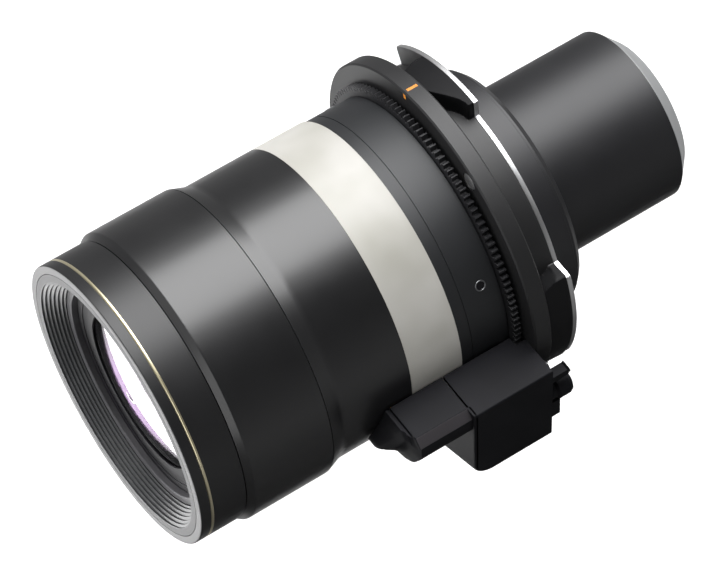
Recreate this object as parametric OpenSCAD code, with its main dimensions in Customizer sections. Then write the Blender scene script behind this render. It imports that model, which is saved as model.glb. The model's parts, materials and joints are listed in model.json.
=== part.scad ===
// Motorised zoom projection lens with a bayonet mount and a drive housing on its side.
// The optical axis lies along Y: the front glass faces -Y and the rear barrel ends at +Y.
// The origin is the centre of the mount flange's rear seat. +Z is up, and +X is the housing's side.
// All lengths are millimetres. Angles round the axis start at +X and grow towards +Z.

/* [Front ring] */
// Step from the rear cover up to the front ring
ring_out = 1; // [0.6:0.1:1.6]
// Length of the front ring
ring_len = 19.5; // [17:0.1:24]
// Width of the front ring's face outside the baffle
rim_w = 3.4; // [2.6:0.1:4.4]
// Depth of the baffle's seat in the ring
seat_depth = 2.6; // [2:0.1:3.5]
// Length of the sleeve behind the ring that runs inside the front barrel
sleeve_len = 14; // [10:0.5:18]
// Wall of the sleeve
sleeve_wall = 2; // [1.5:0.1:2.6]
// Distance of the gold line from the front face
line_pos = 4.4; // [3:0.1:7]
// Width of the gold line
line_w = 1.3; // [0.8:0.1:2]
// Depth of the gold line's groove
line_depth = 0.8; // [0.5:0.1:1.2]

/* [Baffle] */
// Width of the flat lip outside the ridges
lip_w = 3.6; // [2.4:0.1:4.4]
// Width of the ridged cone
ridge_w = 5.2; // [4:0.1:6.4]
// Depth of the ridged cone
ridge_depth = 7.8; // [6:0.1:10]
// Depth of one groove between ridges
groove_rise = 0.45; // [0.2:0.05:0.8]
// Number of ridges
ridge_count = 6; // [4:1:8]
// Wall of the baffle at its thin end
baffle_wall = 1.6; // [1.2:0.1:2.2]

/* [Front glass and cell] */
// Width of the grey clamping ring
clamp_w = 3.2; // [2.2:0.1:3.8]
// Thickness of the grey clamping ring
clamp_t = 3.4; // [2.5:0.1:4.5]
// Width of the black retainer round the front glass
retainer_w = 10.8; // [9:0.1:12]
// Width of the front elements' seat under the retainer
seat_w = 3.8; // [3:0.1:5]
// Rise of the front glass's face
front_rise = 5.6; // [4:0.1:6.5]
// Edge thickness of the first element
front_edge_t = 9; // [7:0.1:11]
// Edge thickness of the second element
second_edge_t = 7; // [5:0.1:9]
// Length of the spacer between the front elements
front_spacer_len = 6; // [4:0.1:8]
// Thickness of the web that joins the cell to the sleeve
web_t = 3; // [2.4:0.1:4]

/* [Outer barrels] */
// Step from the rear cover up to the front barrel
barrel_out = 3; // [2.2:0.1:4.5]
// Length of the front barrel
barrel_len = 36.7; // [32:0.1:42]
// Length of the chamfer at the front barrel's front edge
barrel_chamfer = 2.6; // [1.5:0.1:4]
// Step from the rear cover up to the middle barrel and the cream band
mid_out = 0.6; // [0.3:0.1:1]
// Length of the middle barrel
mid_len = 36.3; // [33:0.1:42]
// Length of the cone at the middle barrel's front
mid_cone_len = 6.6; // [4:0.1:9]
// Length of the cream band
band_len = 22.5; // [18:0.1:28]
// Outer radius of the rear cover, which leads the other outer radii
cover_r = 57.4; // [54:0.1:64]
// Length of the rear cover
cover_len = 21.1; // [18:0.1:26]
// Wall of the rear cover
cover_wall = 1.8; // [1.5:0.1:2.4]
// Width of the grooves between the barrels
seam_w = 0.3; // [0.2:0.05:0.5]
// Depth of the grooves between the barrels
seam_depth = 0.6; // [0.3:0.1:1]

/* [Drive rings] */
// Radial space between the rear cover and the guide tube
drive_space = 9.6; // [8.6:0.1:10.6]
// Wall of the guide tube
guide_wall = 2; // [1.6:0.1:2.6]
// Wall of the cam barrel and of the focus ring
cam_wall = 3.6; // [3:0.1:4.2]
// Height of the zoom gear's teeth above the rear cover
gear_rise = 4.25; // [3.8:0.05:4.8]
// Width of the zoom gear
gear_w = 2.7; // [2.2:0.1:3.2]
// Gap between the zoom gear and the flange
gear_gap = 1.3; // [1:0.1:1.8]
// Teeth on each drive ring
ring_teeth = 135; // [120:1:150]
// Teeth on the zoom pinion
zoom_pinion_teeth = 14; // [13:1:16]
// Teeth on the focus pinion
focus_pinion_teeth = 24; // [22:1:26]
// Length of the focus ring
focus_ring_len = 23; // [21:0.5:26]
// Width of the focus gear
focus_gear_w = 4; // [3.4:0.1:5]
// Length of the cam barrel ahead of the zoom gear
cam_len = 46; // [44:0.5:49]
// Turn of the zoom ring, and of the focus ring, in degrees
drive_turn = 90; // [60:1:90]
// Travel of the front group over the focus ring's turn
focus_travel = 6; // [4:0.5:7]
// Travel of the variator over the zoom ring's turn
variator_travel = 16; // [10:0.5:17]
// Travel of the compensator over the zoom ring's turn
compensator_travel = 5; // [3:0.5:5.5]
// Diameter of the follower pins
pin_d = 3; // [2.5:0.1:3.4]

/* [Moving groups] */
// Radius of the variator's elements
variator_r = 30; // [27:0.5:33]
// Length of the variator's cell
variator_len = 16; // [15:0.5:18]
// Radius of the compensator's elements
compensator_r = 26; // [24:0.5:30]
// Length of the compensator's cell
compensator_len = 11; // [10:0.5:11.5]

/* [Mount] */
// Step from the rear cover up to the mount flange
flange_out = 11.6; // [10.8:0.1:13]
// Thickness of the mount flange
flange_t = 7.5; // [6.5:0.1:9]
// Chamfer of the mount flange's edges
flange_chamfer = 0.6; // [0.3:0.1:1]
// Height of the bayonet lugs above the neck
lug_height = 7.7; // [6:0.1:8]
// Length of the bayonet neck
neck_len = 10.8; // [9:0.1:13]
// How far the bayonet lugs stay inside the flange's rim
lug_inset = 2; // [1.5:0.1:3.5]
// Thickness of the bayonet plate
plate_t = 1.9; // [1.5:0.1:2.5]
// Distance of the flange screws from the flange's rim
flange_screw_inset = 5; // [4.6:0.1:5.4]
// Diameter of the flange screws' heads
flange_head_d = 6.8; // [6:0.1:7.2]
// Diameter of the flange screws' shanks
flange_shank_d = 3; // [2.5:0.1:3.4]
// Width of the flange's rim round the neck's foot
foot_edge = 1.7; // [1.4:0.1:2.2]
// Thickness of the neck's foot
foot_t = 3; // [2.4:0.1:3.6]
// Number of flange screws
flange_screw_count = 3; // [3:1:8]
// Angle of the first flange screw, in degrees
flange_screw_angle = 66; // [60:1:72]
// Distance of the plate screws from the neck's outside
plate_screw_inset = 5.3; // [4.8:0.1:5.8]
// Diameter of the plate screws' heads
plate_head_d = 5; // [4.4:0.1:5.4]
// Number of plate screws
plate_screw_count = 6; // [4:1:8]
// Angle of the index marks, in degrees
mark_angle = 103.2; // [95:0.1:110]
// Width of the index marks
mark_w = 1.5; // [1:0.1:2.2]
// Length of the mark on the flange's rim
mark_len = 4.6; // [3.5:0.1:5.5]
// Length of the mark on the flange's front face
tick_len = 2.2; // [1.5:0.1:3]

/* [Rear] */
// Step from the guide tube up to the rear ring
rear_ring_out = 3.9; // [3.4:0.1:4.8]
// Length of the rear ring
rear_ring_len = 11.9; // [10:0.1:14]
// Length of the collar behind the rear ring
collar_len = 3.4; // [2.5:0.1:5]
// Outer radius of the rear barrel
rear_r = 35.65; // [34:0.05:37]
// Length of the rear barrel
rear_len = 71.8; // [62:0.1:80]
// Wall of the rear barrel
rear_wall = 3.1; // [2.6:0.1:3.6]
// Length of the pale rear rim
rim_len = 6.6; // [5:0.1:8]
// Outer radius of the rear rim's end
rim_r = 28.3; // [27:0.1:30]
// Radius of the rear window
rear_clear_r = 26.4; // [24.5:0.1:26.6]
// Bore radius of the relay cell
relay_r = 26; // [24:0.1:27]
// Length of the relay cell's tube
relay_len = 40; // [36:0.5:48]

/* [Housing] */
// Distance of the housing's outer side beyond the flange's rim
housing_out = 11; // [10:0.1:14]
// Length of the deep part of the housing
housing_len = 35.2; // [34.5:0.1:36]
// Depth of the housing's side
housing_depth = 43; // [41:0.1:46]
// Wall of the housing
housing_wall = 1.8; // [1.5:0.1:2.2]
// Length of the shelf ahead of the deep part
shelf_len = 24.5; // [24:0.1:27]
// Length of the shelf's drooping nose
nose_len = 8.5; // [7:0.1:10]
// Chamfer along the shelf's outer edge
shelf_chamfer = 5; // [4:0.1:6]
// Depth of the shelf's side
shelf_depth = 14.3; // [13.5:0.1:16]
// Drop of the focus motor's axis below the optical axis
focus_drop = 12.8; // [12.6:0.1:13.4]
// Drop of the zoom motor's axis below the optical axis
zoom_drop = 30.4; // [30:0.1:32]
// Diameter of the focus motor
focus_motor_d = 11.6; // [10:0.1:11.8]
// Length of the focus motor
focus_motor_len = 22; // [18:0.5:23]
// Diameter of the zoom motor
zoom_motor_d = 15.6; // [14:0.1:16]
// Length of the zoom motor
zoom_motor_len = 22; // [18:0.5:23]
// Diameter of both motor shafts
shaft_d = 3; // [2.6:0.1:3.4]
// Thickness of the motor bracket
bracket_t = 2; // [1.6:0.1:2.2]
// Thickness of the circuit board
board_t = 1.6; // [1.2:0.1:2]
// Diameter of the guide post
post_d = 10.4; // [9:0.1:10.8]
// Length of the guide post behind the housing
post_len = 11.4; // [10:0.1:14]

/* [Barrel screws] */
// Diameter of the barrel screws' heads
barrel_head_d = 4.4; // [3.6:0.1:4.8]
// Distance of the barrel screws from the rear cover's rear edge
barrel_screw_pos = 7; // [5:0.1:9]
// Angle of the first barrel screw, in degrees
barrel_screw_angle = 30.5; // [27:0.5:34]

/* [Hidden] */
$fn = 96;
fine_fn = 48;
ball_fn = 200;

// Clearances
cut = 1;
slide_fit = 0.05;
sleeve_gap = 0.3;
joint_gap = 0.1;
tip_gap = 0.7;
ring_gap = 0.5;
slot_gap = 0.35;
line_inset = 0.05;
head_gap = 0.3;

// Axial stations, zero at the flange's rear seat and negative towards the front
flange_z = -flange_t;
gear_rear_z = flange_z - gear_gap;
gear_front_z = gear_rear_z - gear_w;
cover_rear_z = gear_front_z - seam_w;
band_rear_z = cover_rear_z - cover_len;
mid_rear_z = band_rear_z - band_len;
barrel_rear_z = mid_rear_z - mid_len;
barrel_front_z = barrel_rear_z - barrel_len;
ring_rear_z = barrel_front_z - seam_w;
face_z = ring_rear_z - ring_len;
neck_rear_z = neck_len;
plate_rear_z = neck_rear_z + plate_t;
rear_ring_end_z = plate_rear_z + rear_ring_len;
collar_end_z = rear_ring_end_z + collar_len;
rear_end_z = plate_rear_z + rear_len;
rim_end_z = rear_end_z + rim_len;

// Radii inside the covers
shell_in_r = cover_r - cover_wall;
guide_r = shell_in_r - drive_space;
guide_in_r = guide_r - guide_wall;
cell_r = guide_in_r - slide_fit;
cam_in_r = guide_r + slide_fit;
cam_r = cam_in_r + cam_wall;
sleeve_r = shell_in_r - sleeve_gap;
sleeve_in_r = sleeve_r - sleeve_wall;
foot_sink = 0.2;
ring_r = cover_r + ring_out;
joint_r = ring_r - rim_w;
lip_r = joint_r - lip_w;
ridge_end_r = lip_r - ridge_w;
clamp_r = ridge_end_r - clamp_w;
clear_r = clamp_r - retainer_w;
front_glass_r = clear_r + seat_w;
barrel_r = cover_r + barrel_out;
mid_r = cover_r + mid_out;
rear_ring_r = guide_r + rear_ring_out;
flange_r = cover_r + flange_out;
foot_r = flange_r - foot_edge;
flange_screw_pcr = flange_r - flange_screw_inset;
lug_r = flange_r - lug_inset;
neck_r = lug_r - lug_height;
plate_screw_pcr = neck_r - plate_screw_inset;
housing_reach = flange_r + housing_out;

// Gears: a tooth count and a tip radius give the module
pressure_angle = 25;
tooth_share = 0.93;
addendum_share = 0.9;
dedendum_share = 1.25;
zoom_tip_r = cover_r + gear_rise;
zoom_module = zoom_tip_r / (ring_teeth / 2 + addendum_share);
zoom_pitch_r = zoom_module * ring_teeth / 2;
focus_tip_r = shell_in_r - tip_gap;
focus_module = focus_tip_r / (ring_teeth / 2 + addendum_share);
focus_pitch_r = focus_module * ring_teeth / 2;
zoom_pinion_r = zoom_module * zoom_pinion_teeth / 2;
focus_pinion_r = focus_module * focus_pinion_teeth / 2;
zoom_axis_r = zoom_pitch_r + zoom_pinion_r;
focus_axis_r = focus_pitch_r + focus_pinion_r;
zoom_axis_x = sqrt(zoom_axis_r * zoom_axis_r - zoom_drop * zoom_drop);
focus_axis_x = sqrt(focus_axis_r * focus_axis_r - focus_drop * focus_drop);
zoom_angle = -asin(zoom_drop / zoom_axis_r);
focus_angle = -asin(focus_drop / focus_axis_r);

// Places of the drive rings and of the moving groups
cam_front_z = gear_front_z - cam_len;
thrust_t = 1.8;
thrust_z = cam_front_z - ring_gap - thrust_t;
focus_rear_z = thrust_z - ring_gap;
focus_front_z = focus_rear_z - focus_ring_len;
bulkhead_t = 4;
bulkhead_z = focus_front_z - ring_gap - bulkhead_t;
focus_gear_rear_z = focus_rear_z - cut;
focus_gear_z = focus_gear_rear_z - focus_gear_w;
slot_end = pin_d / 2 + slot_gap + cut;
focus_pin_z = focus_gear_z - slot_end;
cell_tail = 5;
cell_rear_z = focus_pin_z + cell_tail;
variator_z = cam_front_z + cut;
variator_pin_z = variator_z + variator_len / 2;
compensator_z = gear_front_z - compensator_travel - compensator_len + cut + cut;
compensator_pin_z = gear_front_z - compensator_travel - slot_end;
pin_seat = 1.9;
follower_angles = [90, 210, 330];
compensator_angles = [30, 150, 270];

// A cylinder's wall between two stations
module tube(outer, inner, from, to) {
    translate([0, 0, from])
        difference() {
            cylinder(r = outer, h = to - from);
            translate([0, 0, -cut]) cylinder(r = inner, h = to - from + 2 * cut);
        }
}

// Turns the optical axis from Z to Y
module axial() rotate([-90, 0, 0]) children();

// Turns a shape from +X to an angle above it
module turned(angle) rotate([0, 0, -angle]) children();

// A ring spun from an outline of [radius, station] points
module spun(points) rotate_extrude() polygon(points);

// A round hole or pin that points outwards from the axis
module radial(radius, from, to, station) {
    translate([from, 0, station]) rotate([0, 90, 0]) cylinder(r = radius, h = to - from, $fn = fine_fn);
}

// A straight slot along the axis, through a wall that ends at a radius
module axial_slot(from, to, radius) {
    half = pin_d / 2 + slot_gap;
    radial(half, radius / 2, radius + cut, from);
    radial(half, radius / 2, radius + cut, to);
    translate([radius / 2, -half, from]) cube([radius / 2 + cut, 2 * half, to - from]);
}

// A helical slot for a follower pin: the pin stands still while the ring turns by drive_turn,
// and the slot carries it along the axis by travel
module helical_slot(station, travel, radius) {
    half = pin_d / 2 + slot_gap;
    pieces = 10;
    overlap_share = 1.12;
    step = drive_turn / pieces;
    chord = 2 * radius * sin(step / 2) * overlap_share;
    slope = atan(travel / (radius * drive_turn * PI / 180));
    for (end = [0, 1])
        rotate([0, 0, -end * drive_turn]) radial(half, radius / 2, radius + 2 * cut, station + end * travel);
    for (i = [0 : pieces - 1])
        rotate([0, 0, -(i + 1 / 2) * step])
            translate([radius / 2, 0, station + (i + 1 / 2) / pieces * travel])
                rotate([-slope, 0, 0])
                    translate([0, -chord / 2, -half]) cube([radius / 2 + 2 * cut, chord, 2 * half]);
}

// Half the angle that an involute tooth fills at a radius, in degrees
function involute(angle) = tan(angle) * 180 / PI - angle;
function half_tooth(teeth, pitch_r, radius) =
    let (base_r = pitch_r * cos(pressure_angle))
    let (local = radius > base_r ? acos(base_r / radius) : 0)
    90 / teeth * tooth_share + involute(pressure_angle) - involute(local);

// Outline of a spur gear whose first tooth points along +X
function gear_points(teeth, mod, steps) =
    let (pitch_r = mod * teeth / 2)
    let (tip_r = pitch_r + addendum_share * mod)
    let (root_r = pitch_r - dedendum_share * mod)
    [for (i = [0 : teeth - 1], side = [-1, 1], k = [0 : steps])
        let (share = side < 0 ? k / steps : 1 - k / steps)
        let (radius = root_r + (tip_r - root_r) * share)
        let (angle = i * 360 / teeth + side * half_tooth(teeth, pitch_r, radius))
        [radius * cos(angle), radius * sin(angle)]];

// A round glass with a spherical rise (or a hollow, below zero) on each face
module element(radius, edge_t, front, rear) {
    rim_share = 0.94;
    difference() {
        union() {
            cylinder(r = radius, h = edge_t);
            if (front > 0) cap(radius, front);
            if (rear > 0) translate([0, 0, edge_t]) mirror([0, 0, 1]) cap(radius, rear);
        }
        if (front < 0) hollow(radius * rim_share, -front);
        if (rear < 0) translate([0, 0, edge_t]) mirror([0, 0, 1]) hollow(radius * rim_share, -rear);
    }
}

// Radius of the sphere whose cap has a radius and a rise
function sphere_r(radius, rise) = (radius * radius + rise * rise) / (2 * rise);

module cap(radius, rise) {
    ball = sphere_r(radius, rise);
    intersection() {
        translate([0, 0, ball - rise]) sphere(r = ball, $fn = ball_fn);
        translate([0, 0, -rise]) cylinder(r = radius, h = rise);
    }
}

module hollow(radius, depth) {
    ball = sphere_r(radius, depth);
    translate([0, 0, depth - ball]) sphere(r = ball, $fn = ball_fn);
}

// Front group
clamp_z = face_z + ridge_depth + joint_gap;
clamp_rear_z = clamp_z + clamp_t;
retainer_recess = 0.3;
retainer_z = clamp_z + clamp_t - cut;
glass_z = retainer_z + 2 * cut;
glass_end_z = glass_z + front_edge_t;
second_z = glass_end_z + front_spacer_len;
second_end_z = second_z + second_edge_t;
ridge_step = ridge_depth / ridge_count;

module front_ring() color("#26272a") axial() {
    edge = joint_gap * 4;
    difference() {
        spun([
            [joint_r, face_z], [ring_r - edge, face_z], [ring_r, face_z + edge], [ring_r, ring_rear_z],
            [sleeve_r, ring_rear_z], [sleeve_r, ring_rear_z + sleeve_len],
            [sleeve_in_r, ring_rear_z + sleeve_len], [sleeve_in_r, face_z + seat_depth],
            [joint_r, face_z + seat_depth]
        ]);
        tube(ring_r + cut, ring_r - line_depth, face_z + line_pos, face_z + line_pos + line_w);
    }
}

module gold_line() color("#d8b45a") axial() {
    tube(ring_r - line_inset, ring_r - line_depth, face_z + line_pos, face_z + line_pos + line_w);
}

module ridged_baffle() color("#4a4b4e") axial() {
    outer = joint_r - joint_gap;
    rear = face_z + ridge_depth;
    drop = (lip_r - ridge_end_r) / ridge_count;
    bottom_share = 0.55;
    ridges = [for (i = [0 : ridge_count - 1], part = [0, 1])
        [lip_r - drop * i + part * groove_rise * (1 - bottom_share),
         face_z + ridge_step * (i + part * bottom_share)]];
    spun(concat(
        [[outer, face_z]], ridges, [[ridge_end_r, rear]],
        [[ridge_end_r + baffle_wall, rear], [sleeve_in_r - joint_gap, face_z + seat_depth],
         [outer, face_z + seat_depth]]
    ));
}

module clamping_ring() color("#8d8e91") axial() {
    edge = joint_gap * 4;
    spun([
        [clamp_r, clamp_z + edge], [clamp_r + edge, clamp_z], [ridge_end_r, clamp_z],
        [ridge_end_r, clamp_rear_z], [clamp_r, clamp_rear_z]
    ]);
}

module glass_retainer() color("#151517") axial() {
    steps = 3;
    width = (clamp_r - joint_gap - clear_r) / steps;
    rise = retainer_recess;
    stair = [for (i = [0 : steps - 1], part = [0, 1])
        [clear_r + width * (i + part), retainer_z + rise * (i % 2)]];
    // The seat behind the lip is a cone just clear of the glass
    bulge = front_rise * (1 - clear_r * clear_r / (front_glass_r * front_glass_r)) + 2 * joint_gap;
    spun(concat(stair, [[clamp_r - joint_gap, clamp_rear_z], [front_glass_r, clamp_rear_z],
        [front_glass_r, glass_z - joint_gap], [clear_r, glass_z - bulge]]));
}

module front_cell() color("#2c2d30") axial() {
    difference() {
        spun([
            [front_glass_r, clamp_rear_z], [sleeve_in_r, clamp_rear_z], [sleeve_in_r, clamp_rear_z + web_t],
            [cell_r, clamp_rear_z + web_t], [cell_r, cell_rear_z], [cell_r - pin_seat - cut, cell_rear_z],
            [cell_r - pin_seat - cut, second_end_z], [front_glass_r, second_end_z]
        ]);
        for (a = follower_angles)
            turned(a) radial(pin_d / 2, cell_r - pin_seat, cell_r + cut, focus_pin_z);
    }
}

module front_glass() color([0.75, 0.7, 0.8, 0.5]) axial() {
    translate([0, 0, glass_z]) element(front_glass_r, front_edge_t, front_rise, -front_rise / 2);
}

module front_spacer() color("#1b1b1d") axial() {
    tube(front_glass_r, clear_r, glass_end_z, second_z);
}

module second_glass() color([0.75, 0.78, 0.8, 0.5]) axial() {
    translate([0, 0, second_z]) element(front_glass_r, second_edge_t, 0, -front_rise / 2);
}

// Three follower pins that stand on a cell and reach through the guide tube into a ring's slots
module follower_pins(angles, station) color("#b9b5a6") axial() {
    for (a = angles)
        turned(a) radial(pin_d / 2, cell_r - pin_seat, cam_r - slide_fit, station);
}

module focus_pins() follower_pins(follower_angles, focus_pin_z);

module variator_pins() follower_pins(follower_angles, variator_pin_z);

module compensator_pins() follower_pins(compensator_angles, compensator_pin_z);

// Outer barrels
module front_barrel() color("#1d1e20") axial() {
    spun([
        [shell_in_r, barrel_front_z], [ring_r, barrel_front_z], [barrel_r, barrel_front_z + barrel_chamfer],
        [barrel_r, barrel_rear_z - seam_w], [barrel_r - seam_depth, barrel_rear_z - seam_w],
        [barrel_r - seam_depth, barrel_rear_z], [shell_in_r, barrel_rear_z]
    ]);
}

// The window lets the focus pinion reach its ring, and is hidden under the gear cover
module mid_barrel() color("#1f2022") axial() {
    window = focus_pinion_r + 2 * cut;
    difference() {
        spun([
            [shell_in_r, barrel_rear_z], [barrel_r, barrel_rear_z], [mid_r, barrel_rear_z + mid_cone_len],
            [mid_r, mid_rear_z], [shell_in_r, mid_rear_z]
        ]);
        translate([shell_in_r / 2, focus_drop - window, focus_gear_z - cut])
            cube([barrel_r, 2 * window, focus_gear_w + 2 * cut]);
    }
}

module cream_band() color("#d9d5cb") axial() {
    tube(mid_r, shell_in_r, mid_rear_z, band_rear_z);
}

module rear_cover() color("#232427") axial() {
    difference() {
        spun([
            [shell_in_r, band_rear_z], [cover_r, band_rear_z],
            [cover_r, band_rear_z + 2 * cut], [cover_r - seam_w, band_rear_z + 2 * cut],
            [cover_r - seam_w, band_rear_z + 2 * cut + seam_w], [cover_r, band_rear_z + 2 * cut + seam_w],
            [cover_r, cover_rear_z], [shell_in_r, cover_rear_z]
        ]);
        for (i = [0 : 2])
            turned(barrel_screw_angle + i * 120)
                radial(barrel_head_d / 2, shell_in_r / 2, cover_r + cut, cover_rear_z - barrel_screw_pos);
    }
}

module barrel_screws() color("#3a3b3e") axial() {
    socket_r = barrel_head_d / 4;
    for (i = [0 : 2])
        turned(barrel_screw_angle + i * 120)
            difference() {
                radial(barrel_head_d / 2, shell_in_r, cover_r - line_inset, cover_rear_z - barrel_screw_pos);
                radial(socket_r, cover_r - cover_wall / 2, cover_r + cut, cover_rear_z - barrel_screw_pos);
            }
}

// Fixed guide tube with a bulkhead that carries the outer barrels
module guide_tube() color("#56585c") axial() {
    difference() {
        spun([
            [guide_in_r, bulkhead_z], [shell_in_r, bulkhead_z], [shell_in_r, bulkhead_z + bulkhead_t],
            [guide_r, bulkhead_z + bulkhead_t], [guide_r, -foot_sink], [guide_in_r, -foot_sink]
        ]);
        for (a = follower_angles) {
            turned(a) axial_slot(focus_pin_z - focus_travel, focus_pin_z, guide_r);
            turned(a) axial_slot(variator_pin_z, variator_pin_z + variator_travel, guide_r);
        }
        for (a = compensator_angles)
            turned(a) axial_slot(compensator_pin_z, compensator_pin_z + compensator_travel, guide_r);
    }
}

module focus_ring() color("#6b6d70") axial() {
    // A ring's tooth gap faces the pinion at rest
    phase = focus_angle + 180 / ring_teeth;
    difference() {
        union() {
            translate([0, 0, focus_front_z]) cylinder(r = cam_r, h = focus_ring_len);
            translate([0, 0, focus_gear_z])
                turned(phase) linear_extrude(focus_gear_w) polygon(gear_points(ring_teeth, focus_module, 1));
        }
        translate([0, 0, focus_front_z - cut]) cylinder(r = cam_in_r, h = focus_ring_len + 2 * cut);
        for (a = follower_angles)
            turned(a) helical_slot(focus_pin_z, -focus_travel, cam_r);
    }
}

module thrust_ring() color("#7c7e82") axial() {
    tube(cam_r, guide_r, thrust_z, thrust_z + thrust_t);
}

module cam_barrel() color("#707276") axial() {
    difference() {
        tube(cam_r, cam_in_r, cam_front_z, gear_rear_z);
        for (a = follower_angles)
            turned(a) helical_slot(variator_pin_z, variator_travel, cam_r);
        for (a = compensator_angles)
            turned(a) helical_slot(compensator_pin_z, compensator_travel, cam_r);
    }
}

module zoom_gear() color("#2a2b2e") axial() {
    phase = zoom_angle + 180 / ring_teeth;
    translate([0, 0, gear_front_z])
        difference() {
            turned(phase) linear_extrude(gear_w) polygon(gear_points(ring_teeth, zoom_module, 1));
            translate([0, 0, -cut]) cylinder(r = cam_r, h = gear_w + 2 * cut);
        }
}

// A moving cell with holes for its follower pins
module moving_cell(station, length, bore, angles, pin_station) {
    step = cut;
    difference() {
        tube(cell_r, bore, station, station + length);
        translate([0, 0, station - cut]) cylinder(r = bore + step, h = cut + length / 8);
        for (a = angles)
            turned(a) radial(pin_d / 2, cell_r - pin_seat, cell_r + cut, pin_station);
    }
}

module variator_cell() color("#3a3c40") axial() {
    moving_cell(variator_z, variator_len, variator_r, follower_angles, variator_pin_z);
}

module variator_glass() color([0.7, 0.78, 0.8, 0.5]) axial() {
    gap = variator_len / 8;
    edge_t = variator_len / 3;
    rise = variator_r / 10;
    translate([0, 0, variator_z + gap]) element(variator_r, edge_t, -rise, -rise / 2);
    translate([0, 0, variator_z + variator_len - gap - edge_t]) element(variator_r, edge_t, -rise / 2, rise / 2);
}

module compensator_cell() color("#3a3c40") axial() {
    moving_cell(compensator_z, compensator_len, compensator_r, compensator_angles, compensator_pin_z);
}

module compensator_glass() color([0.7, 0.78, 0.8, 0.5]) axial() {
    gap = compensator_len / 8;
    edge_t = compensator_len / 2;
    rise = compensator_r / 10;
    translate([0, 0, compensator_z + 2 * gap]) element(compensator_r, edge_t, rise / 2, -rise / 2);
}

// Mount
flange_head_t = 2.2;
flange_screw_len = flange_t - 2 * head_gap;
module around(count, first) for (i = [0 : count - 1]) turned(first + i * 360 / count) children();

module mount_flange() color("#2b2c2f") axial() {
    difference() {
        spun([
            [guide_r, flange_z], [flange_r - flange_chamfer, flange_z], [flange_r, flange_z + flange_chamfer],
            [flange_r, -flange_chamfer], [flange_r - flange_chamfer, 0], [foot_r, 0],
            [foot_r, -foot_t], [guide_r, -foot_t]
        ]);
        around(flange_screw_count, flange_screw_angle) translate([flange_screw_pcr, 0, 0]) {
            translate([0, 0, flange_z - cut])
                cylinder(r = flange_head_d / 2 + head_gap, h = cut + flange_head_t + head_gap, $fn = fine_fn);
            translate([0, 0, flange_z]) cylinder(r = flange_shank_d / 2, h = flange_t, $fn = fine_fn);
        }
        turned(mark_angle) rim_mark(mark_w, cut);
        turned(mark_angle) face_mark(mark_w, cut);
    }
}

// The painted marks fill shallow grooves in the flange's rim and front face
mark_depth = 0.5;
module rim_mark(width, proud) {
    start = flange_z + (flange_t - mark_len) / 2;
    translate([flange_r - mark_depth, -width / 2, start]) cube([mark_depth + proud, width, mark_len]);
}

module face_mark(width, proud) {
    outer = flange_r - flange_chamfer - mark_depth;
    translate([outer - tick_len, -width / 2, flange_z - proud])
        cube([tick_len, width, mark_depth + proud]);
}

module index_marks() color("#f08a1c") axial() {
    turned(mark_angle) {
        rim_mark(mark_w, -line_inset);
        face_mark(mark_w, 0);
    }
}

module flange_screws() color("#b8bac0") axial() {
    socket_r = flange_head_d / 4;
    top = flange_z + head_gap;
    around(flange_screw_count, flange_screw_angle) translate([flange_screw_pcr, 0, 0])
        difference() {
            union() {
                translate([0, 0, top]) cylinder(r = flange_head_d / 2, h = flange_head_t, $fn = fine_fn);
                translate([0, 0, top])
                    cylinder(r = flange_shank_d / 2, h = flange_screw_len, $fn = fine_fn);
            }
            translate([0, 0, top - cut]) cylinder(r = socket_r, h = cut + flange_head_t / 2, $fn = 6);
        }
}

// Bayonet lugs: each has a middle angle and a width, in degrees
lugs = [[0.5, 49], [113, 53], [237, 49]];
rib_shares = [1, 0.62, 1];
module lug_outline(shares) {
    difference() {
        union() {
            circle(r = neck_r);
            for (i = [0 : len(lugs) - 1])
                turned(lugs[i][0] - lugs[i][1] / 2 + lugs[i][1] * shares[i] / 2)
                    lug_slice(lugs[i][1] * shares[i]);
        }
        circle(r = guide_in_r);
    }
}

// A slice of a disc, centred on +X
module lug_slice(width) {
    far = 2 * lug_r;
    intersection() {
        circle(r = lug_r);
        polygon([
            [0, 0], [far * cos(width / 2), -far * sin(width / 2)],
            [far, 0], [far * cos(width / 2), far * sin(width / 2)]
        ]);
    }
}

module bayonet_neck() color("#232427") axial() {
    difference() {
        union() {
            tube(foot_r, guide_r, -foot_t, -foot_sink);
            translate([0, 0, -foot_sink]) linear_extrude(neck_len + foot_sink) lug_outline(rib_shares);
        }
        around(flange_screw_count, flange_screw_angle) translate([flange_screw_pcr, 0, -foot_t - cut])
            cylinder(r = flange_shank_d / 2, h = cut + foot_t - head_gap, $fn = fine_fn);
        around(plate_screw_count, mark_angle) translate([plate_screw_pcr, 0, neck_rear_z - plate_screw_len])
            cylinder(r = flange_shank_d / 2, h = plate_screw_len + cut, $fn = fine_fn);
    }
}

plate_screw_len = neck_len / 2;
plate_head_t = 0.9;
module bayonet_plate() color("#cfd1d4") axial() {
    difference() {
        translate([0, 0, neck_rear_z]) linear_extrude(plate_t) lug_outline([1, 1, 1]);
        around(plate_screw_count, mark_angle) translate([plate_screw_pcr, 0, neck_rear_z - cut]) {
            cylinder(r = flange_shank_d / 2, h = plate_t + 2 * cut, $fn = fine_fn);
            translate([0, 0, cut + plate_t - plate_head_t])
                cylinder(r = plate_head_d / 2, h = plate_head_t + cut, $fn = fine_fn);
        }
    }
}

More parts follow.
